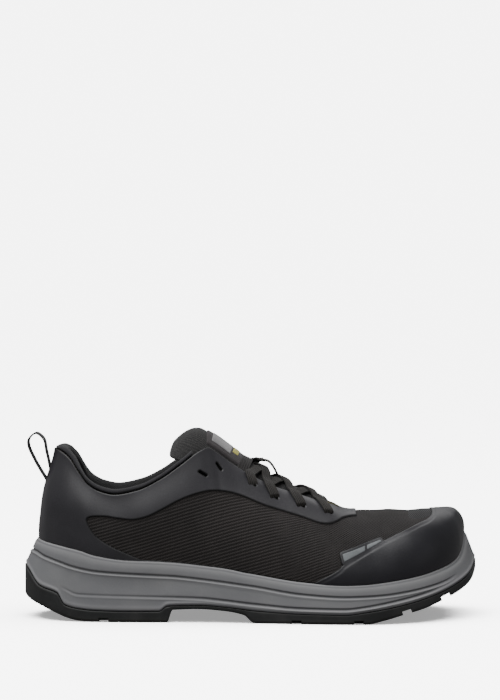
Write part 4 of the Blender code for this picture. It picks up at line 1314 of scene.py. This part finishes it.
WINDOW = panel_outline(WINDOW_CURVE, WINDOW_CORNERS)
BEHIND_CAP = panel_outline(CAP_CURVE, CAP_CORNERS) + CAP_SHIFT
PATCH = in_metres(REFLECTOR) + CAP_SHIFT
PATCH_MIDDLE = (REFLECTOR_MIDDLE - 0.5) * LENGTH + CAP_SHIFT[0]
FILM_LIFT = 0.00035
WELD = 0.0009
PATCH_MARGIN = 0.0016
SEAM_HALF = 0.0003
SPARE_SKIN = 0.003
TOP_BAND = 0.004
TOP_MARGIN = 0.0002


# %% Films over the skin
def skin_region(keep):
    """Points, directions, cloth and faces of the skin where a mask of columns and rows is set."""
    faces = grid_faces(SKIN_COLUMNS, SKIN_ROWS, wrap_columns=True)
    faces = faces[keep.reshape(-1)[faces].any(axis=1)]
    values = np.hstack([SKIN.reshape(-1, 3), SKIN_NORMALS.reshape(-1, 3), CLOTH.reshape(-1, 2)])
    return values, faces.tolist()


def make_overlay(name, field, material, nodes, thickness, lift=FILM_LIFT, relief=None):
    """A film over the skin where a field is positive, with a soft welded edge."""
    values, faces = skin_region(field.reshape(SKIN_COLUMNS, SKIN_ROWS) > -SPARE_SKIN)
    values = np.hstack([values, field.reshape(-1, 1)])
    values, faces = cut_faces(values, faces, 0.0)
    values, faces = cut_faces(values, faces, WELD * 0.45, keep_low=True)
    values, faces = cut_faces(values, faces, WELD, keep_low=True)
    values, faces = tidy(values, faces)
    rim = values[:, -1]
    height = lift * smooth_step(rim, -0.0003, 0.0002) + thickness * np.sqrt(
        np.clip(1 - (1 - np.clip(rim / WELD, 0, 1)) ** 2, 0, 1))
    if relief is not None:
        height = height + relief(values[:, :3])
    points = values[:, :3] + values[:, 3:6] * height[:, None]
    make_piece(name, points, faces, material, nodes, values[:, 6:8], {"rim": rim})


# %% How far each point lies inside a panel
side_x, side_z = SKIN[..., 0].ravel(), SKIN[..., 2].ravel()
flat_skin = SKIN.reshape(-1, 3)
window_field = -outline_distance(side_x, side_z, WINDOW)
top_edge = (up_length[:, -1:] - up_length).reshape(-1)
film_field = np.minimum(window_field, slit_distance(flat_skin, SLIT_IN_FILM))
at_edge = (top_edge < TOP_BAND) & (around_grid.ravel() < SPINE_START)
film_field = np.where(at_edge, np.minimum(film_field, top_edge + TOP_MARGIN), film_field)
cap_field = -outline_distance(side_x, side_z, BEHIND_CAP)
patch_field = outline_distance(side_x, side_z, PATCH)
cap_field = np.maximum(cap_field, patch_field + PATCH_MARGIN)
print("skin points under the film", int((film_field > 0).sum()), "and the cap", int((cap_field > 0).sum()))


# %% Quarter film
make_overlay("quarter_overlay", film_field, FILM_SKIN, ["quarter_film"], FILM)

# %% Toe cap
CAP_BAND = 0.0026
CAP_BAND_SOFT = 0.0007
CAP_STEP = 0.0004


def cap_relief(points):
    """The cap stands higher inside a narrow band that runs along its upper edge."""
    inward = -outline_distance(points[:, 0], points[:, 2], BEHIND_CAP)
    return CAP_STEP * smooth_step(inward, CAP_BAND - CAP_BAND_SOFT, CAP_BAND + CAP_BAND_SOFT)


make_overlay("toe_overlay", cap_field, CAP_SKIN, ["toe_cap"], FILM,
             relief=cap_relief)

# %% Reflective patches
TAPE_THICK = 0.0005
TAPE_LIFT = 0.0009
OTHER_SIDE = -0.01

patch_field = np.minimum(patch_field, np.abs(side_x - PATCH_MIDDLE) - SEAM_HALF)
for name, here in (("outer", flat_skin[:, 1] < 0), ("inner", flat_skin[:, 1] > 0)):
    make_overlay(f"reflective_patch_{name}", np.where(here, patch_field, OTHER_SIDE), TAPE,
                 [f"reflector_{name}"], TAPE_THICK, lift=TAPE_LIFT)

# %% [markdown]
# ## The midsole
#
# The grey foam unit is moulded in one piece. Two long grooves run round its side, each with a
# fine ridge below it that catches the light. The wall is one loft of rings, close together where
# the grooves are, and the grooves are real relief, because the light draws them in the picture.

# %% Sizes of the sole
CREASE = 0.0011
RIDGE = 0.0005
CREASE_HALF = 0.0013
EDGE = 0.0022
SOLE_COLUMNS = 800
SOLE_TURNS = np.linspace(0.0, 2.0, SOLE_COLUMNS, endpoint=False)
SIDE = {name: sole_value(name, SOLE_TURNS) for name in SIDES if name != "around"}
SIDE["lower_cut"] = SIDE["lower_cut"] * (0.3 + 0.7 * smooth_step(around_of(SOLE_TURNS)[1], 0.2, 0.5))
LEAN = SIDE["lean"] * SOLE_HEIGHT
TOP = SIDE["top"] * SOLE_HEIGHT
SPLIT = SIDE["split"] * SOLE_HEIGHT
GROUND = SIDE["ground"] * SOLE_HEIGHT


def ring(inset, height):
    """One closed ring round the sole."""
    flat, _ = edge_point(SOLE_TURNS, inset)
    return np.concatenate([flat, np.broadcast_to(height, SOLE_TURNS.shape)[:, None]], axis=1)


print("rim of the sole from", round(float(TOP.min()), 4), "to", round(float(TOP.max()), 4))


# %% Grooves and ridges of the wall
def wall_rows():
    """Heights of the rings up the wall, as shares of it, closer together at the two grooves."""
    low = (SIDE["lower_crease"] * SOLE_HEIGHT - SPLIT) / (TOP - SPLIT)
    high = (SIDE["upper_crease"] * SOLE_HEIGHT - SPLIT) / (TOP - SPLIT)
    half = 2.2 * CREASE_HALF / (TOP - SPLIT)
    half = np.minimum(half, 0.45 * np.minimum(high - low, np.minimum(low, 1 - high)))
    rows = []
    for start, end, count in ((0.0, low - half, 5), (low - half, low + half, 14),
                              (low + half, high - half, 6), (high - half, high + half, 14),
                              (high + half, 1.0, 6)):
        for k in range(count):
            rows.append(start + (end - start) * k / count)
    return np.array(rows), low, high


def groove(height, centre, cut):
    """A groove with a ridge under it: how far the wall moves in, and two masks."""
    away = (height - centre) / CREASE_HALF
    trough = np.exp(-(np.abs(away) / 0.55) ** 2.4) * cut
    ridge = np.exp(-((away + 1.25) / 0.45) ** 2) * cut
    return CREASE * trough - RIDGE * ridge, trough, ridge


# %% Closed lofts
def strips(rows, row, turned=False):
    """Faces straight across the shoe that close one ring of a loft."""
    faces = []
    for left in range(SOLE_COLUMNS // 2):
        right = left + 1
        corners = [left, right, SOLE_COLUMNS - right, (SOLE_COLUMNS - left) % SOLE_COLUMNS]
        corners = list(dict.fromkeys(corner * rows + row for corner in corners))
        if len(corners) > 2:
            faces.append(corners[::-1] if turned else corners)
    return faces


def make_loft(name, rings, material, replaces, axes, fields=None):
    """A piece through closed rings, shut across the shoe at its first and its last ring."""
    points = np.stack(rings, axis=1)
    columns, rows = points.shape[:2]
    faces = grid_faces(columns, rows, wrap_columns=True).tolist()
    faces += strips(rows, rows - 1) + strips(rows, 0, turned=True)
    cloth = points[..., axes].reshape(-1, 2)
    return make_piece(name, points.reshape(-1, 3), faces, material, [replaces], cloth, fields)


# %% The midsole
FOOT_SOFT = 0.0007
FOOT_STEP = 0.0006
LOW_RIDGE = 0.0022
LOW_RIDGE_SOFT = 0.0009


def wall_ring(share, low, high):
    """A ring of the midsole's wall; masks of painted shade in creases, painted highlights on ridges."""
    height = SPLIT + SPLIT_GAP + (TOP - 0.7 * RIM - SPLIT - SPLIT_GAP) * share
    at = SPLIT + (TOP - SPLIT) * share
    inset = LEAN * np.clip((height - SPLIT) / (TOP - SPLIT), 0, 1)
    crease, ridge = np.zeros_like(height), np.zeros_like(height)
    for centre, name in ((low, "lower_cut"), (high, "upper_cut")):
        depth, trough, crest = groove(at, SPLIT + (TOP - SPLIT) * centre, SIDE[name])
        inset = inset + depth
        crease, ridge = np.maximum(crease, trough), np.maximum(ridge, crest)
    # Painted highlight on the upper band, which faces up.
    bevel = 0.55 * smooth_step((share - high) / (1 - high), 0.35, 0.85)
    foot = np.exp(-((height - SPLIT - SPLIT_GAP) / FOOT_SOFT) ** 2)
    low_ridge = np.exp(-((height - SPLIT - LOW_RIDGE) / LOW_RIDGE_SOFT) ** 2)
    belly = 0.0006 * hump(share, 0.55, 0.3) * hump(around_of(SOLE_TURNS)[1], 0.24, 0.2)
    inset = inset + FOOT_STEP * foot - RIDGE * 0.8 * low_ridge + belly
    # The ridge mask paints highlights; the crease mask paints shade, also at the foot by the rubber.
    ridge = np.maximum(np.maximum(ridge * 0.5, bevel), 0.4 * low_ridge)
    return ring(inset, height), np.maximum(crease, 0.5 * foot), ridge


def make_midsole():
    shares, low, high = wall_rows()
    layers = [wall_ring(share, low, high) for share in shares]
    plain, creased = np.zeros(SOLE_COLUMNS), np.ones(SOLE_COLUMNS)
    # The rounded rim gets a painted highlight that grows as it turns up.
    for angle in np.linspace(0.0, 1.0, 8) * math.pi / 2:
        edge = ring(LEAN + RIM * 0.75 * (1 - math.cos(angle)), TOP - 0.7 * RIM * (1 - math.sin(angle)))
        layers.append((edge, plain, np.full(SOLE_COLUMNS, 0.8 * math.sin(angle))))
    # The top and the floor rings get full painted shade.
    layers.append((ring(LEAN + RIM, TOP), creased, plain))
    layers.append((ring(LEAN + RIM + TAPER, SIDE["floor"] * SOLE_HEIGHT), creased, plain))
    rings, creases, ridges = zip(*layers)
    fields = {"crease": np.stack(creases, axis=1).ravel(), "ridge": np.stack(ridges, axis=1).ravel()}
    make_loft("foam_midsole", rings, FOAM, "midsole", [0, 2], fields)


make_midsole()

# %% [markdown]
# ## The outsole
#
# Black rubber wraps the foam from below, climbs the heel and the toe, and rests on the ground
# under the heel and the ball. It is lofted from the same rings, then wide grooves are cut across
# the tread with Boolean cutters, and finer sipes under the heel and the ball.

# %% Sizes of the tread
LUG_CUT = 0.0062
LUG_DEPTH = 0.0025
TREAD_SPINE = 0.012
SHOULDER = 0.006
LUG_GROOVES = ((0.180, 0.0, 0.0, 0.030), (0.598, 0.0, 0.0, 0.046), (0.732, 0.0, 0.0, 0.047),
               (0.838, 0.118, 0.28, 0.0), (0.925, 0.268, 0.42, 0.0))
CHANNELS = ((0.10, 0.29), (0.52, 0.74))
CHANNEL = 0.0070
SIPE_WIDTH = 0.0011
SIPE_DEPTH = 0.0013
SIPE_PITCH = 0.0092
SIPE_PLACE = 0.019
SIPE_LENGTH = 0.024
SIPE_TURN = 0.35
TOOTH_WIDTH = 0.0015
TOOTH_HEIGHT = 0.0026
TOOTH_TILT = -0.5
HEEL_TEETH = ((-0.1466, 0.0118), (-0.1434, 0.0104), (-0.1402, 0.0092), (-0.1370, 0.0080))


# %% Blocks that cut
def add_block(mesh, centre, size, run, across):
    """A block with two given directions, added to a mesh that cuts."""
    run, across = Vector(run).normalized(), Vector(across).normalized()
    normal = run.cross(across)
    corners = []
    for a, b, c in ((-1, -1, -1), (1, -1, -1), (1, 1, -1), (-1, 1, -1),
                    (-1, -1, 1), (1, -1, 1), (1, 1, 1), (-1, 1, 1)):
        shift = run * a * size[0] / 2 + across * b * size[1] / 2 + normal * c * size[2] / 2
        corners.append(mesh.verts.new(Vector(centre) + shift))
    for face in ((3, 2, 1, 0), (4, 5, 6, 7), (0, 1, 5, 4), (1, 2, 6, 5), (2, 3, 7, 6), (3, 0, 4, 7)):
        mesh.faces.new([corners[i] for i in face])


def cut_with(made, name, blocks):
    """Cuts blocks out of a piece and applies the cut."""
    mesh = bmesh.new()
    for block in blocks:
        add_block(mesh, *block)
    data = bpy.data.meshes.new(name)
    mesh.to_mesh(data)
    mesh.free()
    cutter = bpy.data.objects.new(name, data)
    bpy.context.scene.collection.objects.link(cutter)
    modifier = made.modifiers.new(name, "BOOLEAN")
    modifier.operation = "DIFFERENCE"
    modifier.solver = "EXACT"
    modifier.object = cutter
    bpy.context.view_layer.update()
    graph = bpy.context.evaluated_depsgraph_get()
    cut = bpy.data.meshes.new_from_object(made.evaluated_get(graph))
    made.modifiers.remove(modifier)
    made.data = cut
    bpy.data.objects.remove(cutter, do_unlink=True)


# %% Grooves, channels, sipes and teeth
def lug_blocks():
    """The grooves across the tread. A groove with a notch also has a run nearer the middle."""
    for along, height, tilt, notch in LUG_GROOVES:
        spans = [(notch, BALL_WIDTH)]
        if notch:
            spans.append((TREAD_SPINE, notch - SHOULDER))
        for side in (-1, 1):
            for near, far in spans:
                centre = ((along - 0.5) * LENGTH, side * (near + far) / 2, height * SOLE_HEIGHT)
                yield centre, (LUG_CUT, far - near, 2 * LUG_DEPTH), (1, 0, tilt), (0, 1, 0)


def channel_blocks():
    """The long channels under the heel and the ball."""
    for start, end in CHANNELS:
        centre = (((start + end) / 2 - 0.5) * LENGTH, 0, 0)
        yield centre, ((end - start) * LENGTH, CHANNEL, 1.6 * LUG_DEPTH), (1, 0, 0), (0, 1, 0)


def sipe_blocks():
    """Slanted sipes on both sides of the channels."""
    for start, end in CHANNELS:
        for k in range(int((end - start) * LENGTH / SIPE_PITCH)):
            x = (start - 0.5) * LENGTH + (k + 0.5) * SIPE_PITCH
            for side in (-1, 1):
                yield ((x, side * SIPE_PLACE, 0), (SIPE_WIDTH, SIPE_LENGTH, 2 * SIPE_DEPTH),
                       (1, side * SIPE_TURN, 0), (-side * SIPE_TURN, 1, 0))


def tooth_blocks():
    """Small notches up the back of the heel."""
    for x, z in HEEL_TEETH:
        yield (x, 0, z), (TOOTH_WIDTH, BALL_WIDTH, TOOTH_HEIGHT), (1, 0, TOOTH_TILT), (0, 1, 0)


# %% The outsole
def make_outsole():
    edge = GROUND + np.minimum(EDGE, 0.5 * (SPLIT - GROUND))
    rings = [ring(np.full(SOLE_COLUMNS, EDGE), GROUND)]
    for angle in np.linspace(0, math.pi / 2, 7)[1:]:
        rings.append(ring(EDGE * (1 - math.sin(angle)), GROUND + (edge - GROUND) * (1 - math.cos(angle))))
    for share in np.linspace(0, 1, 8)[1:]:
        rings.append(ring(np.zeros(SOLE_COLUMNS), edge + (SPLIT - edge) * share))
    made = make_loft("tread_outsole", rings, RUBBER, "outsole", [0, 1])
    for name, blocks in (("lug_cutters", lug_blocks()), ("channel_cutters", channel_blocks()),
                         ("sipe_cutters", sipe_blocks()), ("teeth_cutters", tooth_blocks())):
        cut_with(made, name, blocks)
        print(name, "leave", len(made.data.polygons), "faces")


make_outsole()

# %% [markdown]
# ## The insole
#
# Inside lies a thin foam footbed with a cloth face, raised round its edge. Little of it is seen
# through the collar, but the inside of a shoe should look as finished as its outside.

# %% Insole
FOOTBED_ROUND = 0.0012
FOOTBED_DISH = 0.011


def make_insole():
    inset = LEAN + RIM + GAP + TAPER + WALL + 2 * GAP
    floor_height = SIDE["floor"] * SOLE_HEIGHT + GAP
    rings = [ring(inset, floor_height)]
    for angle in np.linspace(0, math.pi / 2, 6):
        rings.append(ring(inset + FOOTBED_ROUND * (1 - math.cos(angle)),
                          floor_height + FOOTBED * (0.7 + 0.3 * math.sin(angle))))
    for inward in np.linspace(0.002, FOOTBED_DISH, 6):
        sunk = FOOTBED_ROUND * smooth_step(inward, 0.0, FOOTBED_DISH)
        rings.append(ring(inset + FOOTBED_ROUND + inward, floor_height + FOOTBED - sunk))
    make_loft("footbed", rings, CLOTH_OF["insole_cloth"], "insole", [0, 1])


make_insole()

# %% [markdown]
# ## Collar and lining
#
# The collar is a foam roll under a knitted cloth. It hugs the inside of the upper, rolls over its
# top edge and shows a smooth binding outside, between two dark seam lines. The roll is one closed
# section swept round the ankle; the binding is the part of that section that shows outside.

# %% Sections of the collar
COLLAR_PAD = 0.0050
COLLAR_RISE = 0.0037
HEEL_LOWER = 0.45
COLLAR_END = 0.385
COLLAR_COLUMNS = 260
COLLAR_STEPS = (0.67, 0.78, 0.87, 0.94, 1.0)
SECTION_FINENESS = 6
LIP_FIRST, LIP_LAST = 5, 8


def collar_sections():
    """Closed sections round the ankle, each with the same number of points."""
    turns = np.linspace(-COLLAR_END, COLLAR_END, COLLAR_COLUMNS)
    steps = np.array(COLLAR_STEPS)
    grid, up = np.meshgrid(turns, steps, indexing="ij")
    skin = on_upper(grid, up, -(WALL + 2 * GAP))
    pad = on_upper(grid, up, -(WALL + 2 * GAP + COLLAR_PAD))
    pad[:, 0] = skin[:, 0] * 0.6 + pad[:, 0] * 0.4
    edge, normal = rib_point(turns, 1.0), rib_normal(turns, np.ones_like(turns))
    out = unit(normal * (1.0, 1.0, 0.0))
    up_way = np.array((0.0, 0.0, 1.0))
    lip = []
    low = (1 - HEEL_LOWER * (1 - smooth_step(np.abs(turns), 0.02, 0.10)))[:, None]
    for inward, rise in ((WALL + 2 * GAP, 2 * GAP), (GAP, 2 * GAP + 0.7 * FILM),
                         (GAP - 0.0003, COLLAR_RISE * 0.55), (0.0008, COLLAR_RISE * 0.86),
                         (0.45 * COLLAR_PAD, COLLAR_RISE), (1.1 * COLLAR_PAD, COLLAR_RISE * 0.8)):
        lip.append(edge - out * inward + up_way * rise * low)
    return np.concatenate([skin, np.stack(lip, axis=1), pad[:, ::-1]], axis=1)


# %% The collar
def drop_loose(data):
    """Takes out points that no face uses."""
    mesh = bmesh.new()
    mesh.from_mesh(data)
    bmesh.ops.delete(mesh, geom=[v for v in mesh.verts if not v.link_faces], context="VERTS")
    mesh.to_mesh(data)
    mesh.free()


def make_collar():
    """The padded roll and the binding, two parts of one smooth closed section."""
    sections = np.stack([smooth_line(section, SECTION_FINENESS, closed=True)
                         for section in collar_sections()])
    columns, rows = sections.shape[:2]
    along = np.repeat(lengths(sections.mean(axis=1)[:, None], 0), rows, axis=1)
    cloth = np.stack([along, lengths(sections, 1)], axis=-1).reshape(-1, 2)
    faces = grid_faces(columns, rows, wrap_rows=True).reshape(columns - 1, rows, 4)
    first, last = LIP_FIRST * SECTION_FINENESS, (LIP_LAST + 1) * SECTION_FINENESS
    points = sections.reshape(-1, 3)
    lip = faces[:, first:last].reshape(-1, 4).tolist()
    rest = np.concatenate([faces[:, :first], faces[:, last:]], axis=1).reshape(-1, 4).tolist()
    rest = [*rest, list(range(rows)), list(range((columns - 1) * rows, columns * rows))[::-1]]
    for name, part, material in (("collar_lining", rest, "lining_knit"),
                                 ("collar_binding", lip, "collar_binding")):
        made = make_piece(name, points, part, CLOTH_OF[material], ["collar"], cloth)
        drop_loose(made.data)


make_collar()

# %% Inner lining below the collar
LINING_COLUMNS = 240
LINING_ROWS = 40
LINING_TOP = 0.985


def make_inner_lining():
    """The cloth that covers the inside of the upper, a little inside its wall."""
    turns = np.linspace(0.0, 2.0, LINING_COLUMNS, endpoint=False)
    steps = np.linspace(0.0, LINING_TOP, LINING_ROWS)
    points = on_upper(*np.meshgrid(turns, steps, indexing="ij"), -(WALL + 0.5 * GAP))
    cloth = points[..., [0, 2]].reshape(-1, 2)
    faces = grid_faces(LINING_COLUMNS, LINING_ROWS, wrap_columns=True)[:, ::-1].tolist()
    make_piece("inner_lining", points.reshape(-1, 3), faces, CLOTH_OF["lining_knit"],
               (), cloth)


make_inner_lining()

# %% [markdown]
# ## Tongue
#
# The tongue is a padded leaf of speckled mesh. It lies under the lace stay, swells up between the
# two edges of the throat and ends in a fat, rounded tip above the collar. Its upper face is a
# smooth grid through the same places as the solid, and its under face follows at a thickness
# that runs out to nothing along the edges, as a sewn pad does.

# %% Rows across the tongue
TONGUE_PAD = 0.0070
TONGUE_PLACES = (0.69, 0.66, 0.625, 0.58, 0.53, 0.48, 0.455, 0.433)
TONGUE_TIP = ((0.0075, -0.0008, 3.4), (0.0120, -0.0010, 3.4), (0.0160, 0.0010, 3.5),
              (0.0190, 0.0045, 3.65), (0.0212, 0.0090, 3.8), (0.0228, 0.0145, 3.9),
              (0.0222, 0.0200, 3.95), (0.0205, 0.0255, 3.95))
TIP_DRIFT = 0.0004
TONGUE_SHARES = (-0.95, -0.65, -0.33, 0.0, 0.33, 0.65, 0.95)
TONGUE_FLANK = (0.67, 0.78, 0.87, 0.94)
TONGUE_ACROSS, TONGUE_ALONG = 8, 9
THIN_SIDE, THIN_START, THIN_TIP = 0.06, 0.05, 0.04


def tongue_rows():
    """Rows of points across the tongue, from its lower end to its tip."""
    under = -(WALL + 4 * GAP)
    rows = []
    for place in TONGUE_PLACES:
        outer = [on_upper(place, step, under) for step in TONGUE_FLANK]
        inner = [on_upper(2.0 - place, step, under) for step in reversed(TONGUE_FLANK)]
        rows.append(np.array(outer + [over_tongue(place, share) for share in TONGUE_SHARES] + inner))
    back = unit(THROAT_RUN)
    last = rows[-1]
    count = len(last)
    middle = (count - 1) / 2
    for number, (reach, dip, half) in enumerate(TONGUE_TIP, 1):
        share = np.maximum(0.0, 1.0 - (np.abs(np.arange(count) - middle) / half) ** 2)
        rows.append(last + (back * reach - THROAT_UP * dip) * share[:, None]
                    + back * TIP_DRIFT * number)
    return np.array(rows)


# %% The tongue
def finer_grid(rows, across, along):
    """A smooth grid through a coarse one."""
    rows = np.array([smooth_line(row, across) for row in rows])
    return np.stack([smooth_line(rows[:, k], along) for k in range(rows.shape[1])], axis=1)


def make_tongue():
    top = finer_grid(tongue_rows(), TONGUE_ACROSS, TONGUE_ALONG)
    normals = unit(np.cross(np.gradient(top, axis=0), np.gradient(top, axis=1)))
    if normals[..., 2].mean() < 0:
        normals = -normals
    columns, rows = top.shape[:2]
    u, v = np.meshgrid(np.linspace(0, 1, columns), np.linspace(0, 1, rows), indexing="ij")
    edge = np.minimum(np.minimum(v, 1 - v) / THIN_SIDE, np.minimum((1 - u) / THIN_TIP, u / THIN_START))
    full = np.sqrt(np.clip(1 - (1 - np.clip(edge, 0, 1)) ** 2, 0, 1))
    thick = TONGUE_PAD * full
    upper_face = top - normals * (TONGUE_PAD - thick)[..., None] * 0.5
    lower_face = upper_face - normals * thick[..., None]
    count = columns * rows
    faces = grid_faces(columns, rows)
    points = np.concatenate([upper_face.reshape(-1, 3), lower_face.reshape(-1, 3)])
    faces = [*faces.tolist(), *(faces[:, ::-1] + count).tolist()]
    cloth = np.stack([lengths(top, 0), lengths(top, 1)], axis=-1).reshape(-1, 2)
    made = make_piece("padded_tongue", points, faces, CLOTH_OF["tongue_mesh"],
                      ["tongue"], np.concatenate([cloth, cloth]))
    return upper_face, normals


TONGUE_FACE, TONGUE_NORMALS = make_tongue()

# %% [markdown]
# ## Label and lace keeper
#
# A cloth label is sewn across the front of the tongue, with a bare pale face and a small yellow
# square. Below it a ribbed webbing loop keeps the lace in the middle. Both are thin, so each is
# a shaped strip over the tongue with a real edge.

# %% Label
LABEL_ENDS = (-0.0294, -0.0047)
LABEL_FACE = (-0.0256, -0.0125)
LABEL_SQUARE = (-0.0119, -0.0082)
LABEL_HALF = 0.155
LABEL_POINTS = 40
LABEL_ROUND = 0.0006


def pick_rows(grid, rows):
    """Rows of a grid of points at places between its own rows, first along, then across."""
    low = np.clip(np.floor(rows).astype(int), 0, len(grid) - 2)
    share = (rows - low)[:, None, None]
    return grid[low] * (1 - share) + grid[low + 1] * share


def patch_on_tongue(name, ends, half, lift, thickness):
    """A thin pad that follows the tongue's face between two places along the shoe."""
    middle = TONGUE_FACE[:, TONGUE_FACE.shape[1] // 2, 0]
    along = np.interp(np.linspace(*ends, LABEL_POINTS), middle[::-1], np.arange(len(middle))[::-1])
    across = (0.5 + np.linspace(-half, half, LABEL_POINTS)) * (TONGUE_FACE.shape[1] - 1)
    face, normals = (
        pick_rows(pick_rows(grid, along).transpose(1, 0, 2), across).transpose(1, 0, 2)
        for grid in (TONGUE_FACE, TONGUE_NORMALS)
    )
    base = face + normals * lift
    shares = np.linspace(0, 1, LABEL_POINTS)
    u, v = np.meshgrid(shares, shares, indexing="ij")
    wide = lengths(base, 0)[-1].mean()
    tall = lengths(base, 1)[:, -1].mean()
    rim = np.minimum(np.minimum(u, 1 - u) * wide, np.minimum(v, 1 - v) * tall)
    height = thickness * np.sqrt(np.clip(1 - (1 - np.clip(rim / LABEL_ROUND, 0, 1)) ** 2, 0, 1))
    top = base + normals * height[..., None]
    points = np.concatenate([top.reshape(-1, 3), (base - normals * GAP).reshape(-1, 3)])
    faces = grid_faces(LABEL_POINTS, LABEL_POINTS)
    faces = [*faces.tolist(), *(faces[:, ::-1] + LABEL_POINTS ** 2).tolist()]
    cloth = np.stack([lengths(base, 0), lengths(base, 1)], axis=-1).reshape(-1, 2)
    make_piece(name, points, faces, CLOTH_OF[name], ["tongue_label"],
               np.concatenate([cloth, cloth]))


patch_on_tongue("label_cloth", LABEL_ENDS, LABEL_HALF, GAP, FILM)
patch_on_tongue("label_face", LABEL_FACE, 0.78 * LABEL_HALF, FILM, 0.7 * FILM)
patch_on_tongue("label_square", LABEL_SQUARE, 0.60 * LABEL_HALF, FILM, 0.7 * FILM)

# %% Lace keeper
KEEPER_PLACE = 0.505
KEEPER_WIDTH = 0.008
KEEPER_REACH = 0.88
KEEPER_POINTS = 44
KEEPER_RIBS = 6
KEEPER_RIB_DEPTH = 0.0003


def make_keeper():
    share = np.linspace(-KEEPER_REACH, KEEPER_REACH, KEEPER_POINTS)
    line = over_tongue(KEEPER_PLACE, share, 2 * GAP + BAND / 2)
    normals = band_normals(line, -THROAT_RUN)
    section = ribbed_section(KEEPER_WIDTH, BAND, KEEPER_RIBS, KEEPER_RIB_DEPTH)
    make_band("keeper_band", line, normals, section, CLOTH_OF["keeper_webbing"],
              ["lace_keeper"])


make_keeper()

# %% [markdown]
# ## Laces
#
# The lace is a flat woven band with fine lengthwise ribs. Each run comes up out of a slit, bends
# over the stay, lies across the tongue and dives into the slit on the other side. Where two runs
# cross, one is lifted over the other.

# %% Lace runs
DIVE = 0.0042
LACE_CLEAR = 0.0004
LACE_SINK = 0.35 * TONGUE_SINK
INSIDE_STEP = -0.012
MOUTH_STEP, MOUTH_LIFT = -0.022, 0.0006
HOLE_STEP, HOLE_LIFT = 0.012, -0.0002
STAY_EDGE = 0.985


def lace_run(outer_hole, inner_hole, lift):
    """A run's line and the directions that it faces, from slit to slit."""
    on_film = FILM_LIFT + FILM + LACE_CLEAR + LACE_THICK / 2
    on_tongue = LACE_CLEAR + LACE_THICK / 2
    ends = []
    for side, (place, step) in ((OUTER, outer_hole), (INNER, inner_hole)):
        turn = turn_of(side, place)
        normal = rib_normal(turn, step)
        inside = on_upper(turn, step + INSIDE_STEP, -DIVE)
        mouth = on_upper(turn, step + MOUTH_STEP, MOUTH_LIFT)
        hole = on_upper(turn, step + HOLE_STEP, on_film + HOLE_LIFT)
        edge = on_upper(turn, STAY_EDGE, on_film)
        ends.append(([inside, mouth, hole, edge],
                     [unit(normal + (0, 0, -0.6)), normal, normal, rib_normal(turn, STAY_EDGE)]))
    line, facing = list(ends[0][0]), list(ends[0][1])
    for share in (-0.75, -0.4, 0.0, 0.4, 0.75):
        place = outer_hole[0] + (inner_hole[0] - outer_hole[0]) * (share + 1) / 2
        line.append(over_tongue(place, share, on_tongue + lift * (1 - share * share), LACE_SINK))
        facing.append(THROAT_UP)
    line += ends[1][0][::-1]
    facing += ends[1][1][::-1]
    return smooth_line(line, 6), unit(smooth_line(facing, 6))


def make_laces():
    runs = [(EYELETS[-1], EYELETS[-1], 0.0)]
    for upper_row, lower_row in zip(EYELETS, EYELETS[1:]):
        runs.append((upper_row, lower_row, 0.0))
        runs.append((lower_row, upper_row, LACE_THICK * 1.1))
    for number, (outer_hole, inner_hole, lift) in enumerate(runs):
        line, facing = lace_run(outer_hole, inner_hole, lift)
        make_band(f"lace_run_{number}", line, facing, LACE_SECTION, CLOTH_OF["lace_yarn"],
                  ["laces"])
    print("lace runs", len(runs))


make_laces()

# %% Pale edge at the throat's front
TRIM_PLACES = (0.668, 0.702)
TRIM_SHARE = -0.62
TRIM_WIDTH = 0.0016


def make_trim():
    """The pale bound edge of the tongue, seen in front of the last lace."""
    places = np.linspace(*TRIM_PLACES, 12)
    line = over_tongue(places, TRIM_SHARE, LACE_CLEAR + 0.5 * FILM, LACE_SINK)
    normals = np.tile(THROAT_UP, (len(line), 1))
    section = ribbed_section(TRIM_WIDTH, FILM, 1, 0.0001, points_a_rib=12)
    make_band("tongue_edge", line, normals, section, CLOTH_OF["trim_yarn"])


make_trim()

# %% [markdown]
# ## Pull loop
#
# A webbing ribbon at the heel helps to pull the shoe on. Both of its ends are sewn flat against
# the heel under the collar, and it stands up as a slim loop, seen edge on from the side.

# %% Pull loop
PULL_WIDTH = 0.013
PULL_RIBS = 8
PULL_RIB_DEPTH = 0.0002


def make_pull_loop():
    corners = [((along - 0.5) * LENGTH, -MIDDLE_Y, height * COLLAR_HEIGHT) for along, height in PULL_LOOP]
    line = smooth_line(corners, 10)
    normals = np.cross(np.gradient(line, axis=0), (0.0, 1.0, 0.0))
    section = ribbed_section(PULL_WIDTH, BAND, PULL_RIBS, PULL_RIB_DEPTH)
    make_band("heel_loop", line, normals, section, CLOTH_OF["loop_webbing"],
              ["pull_loop"])


make_pull_loop()
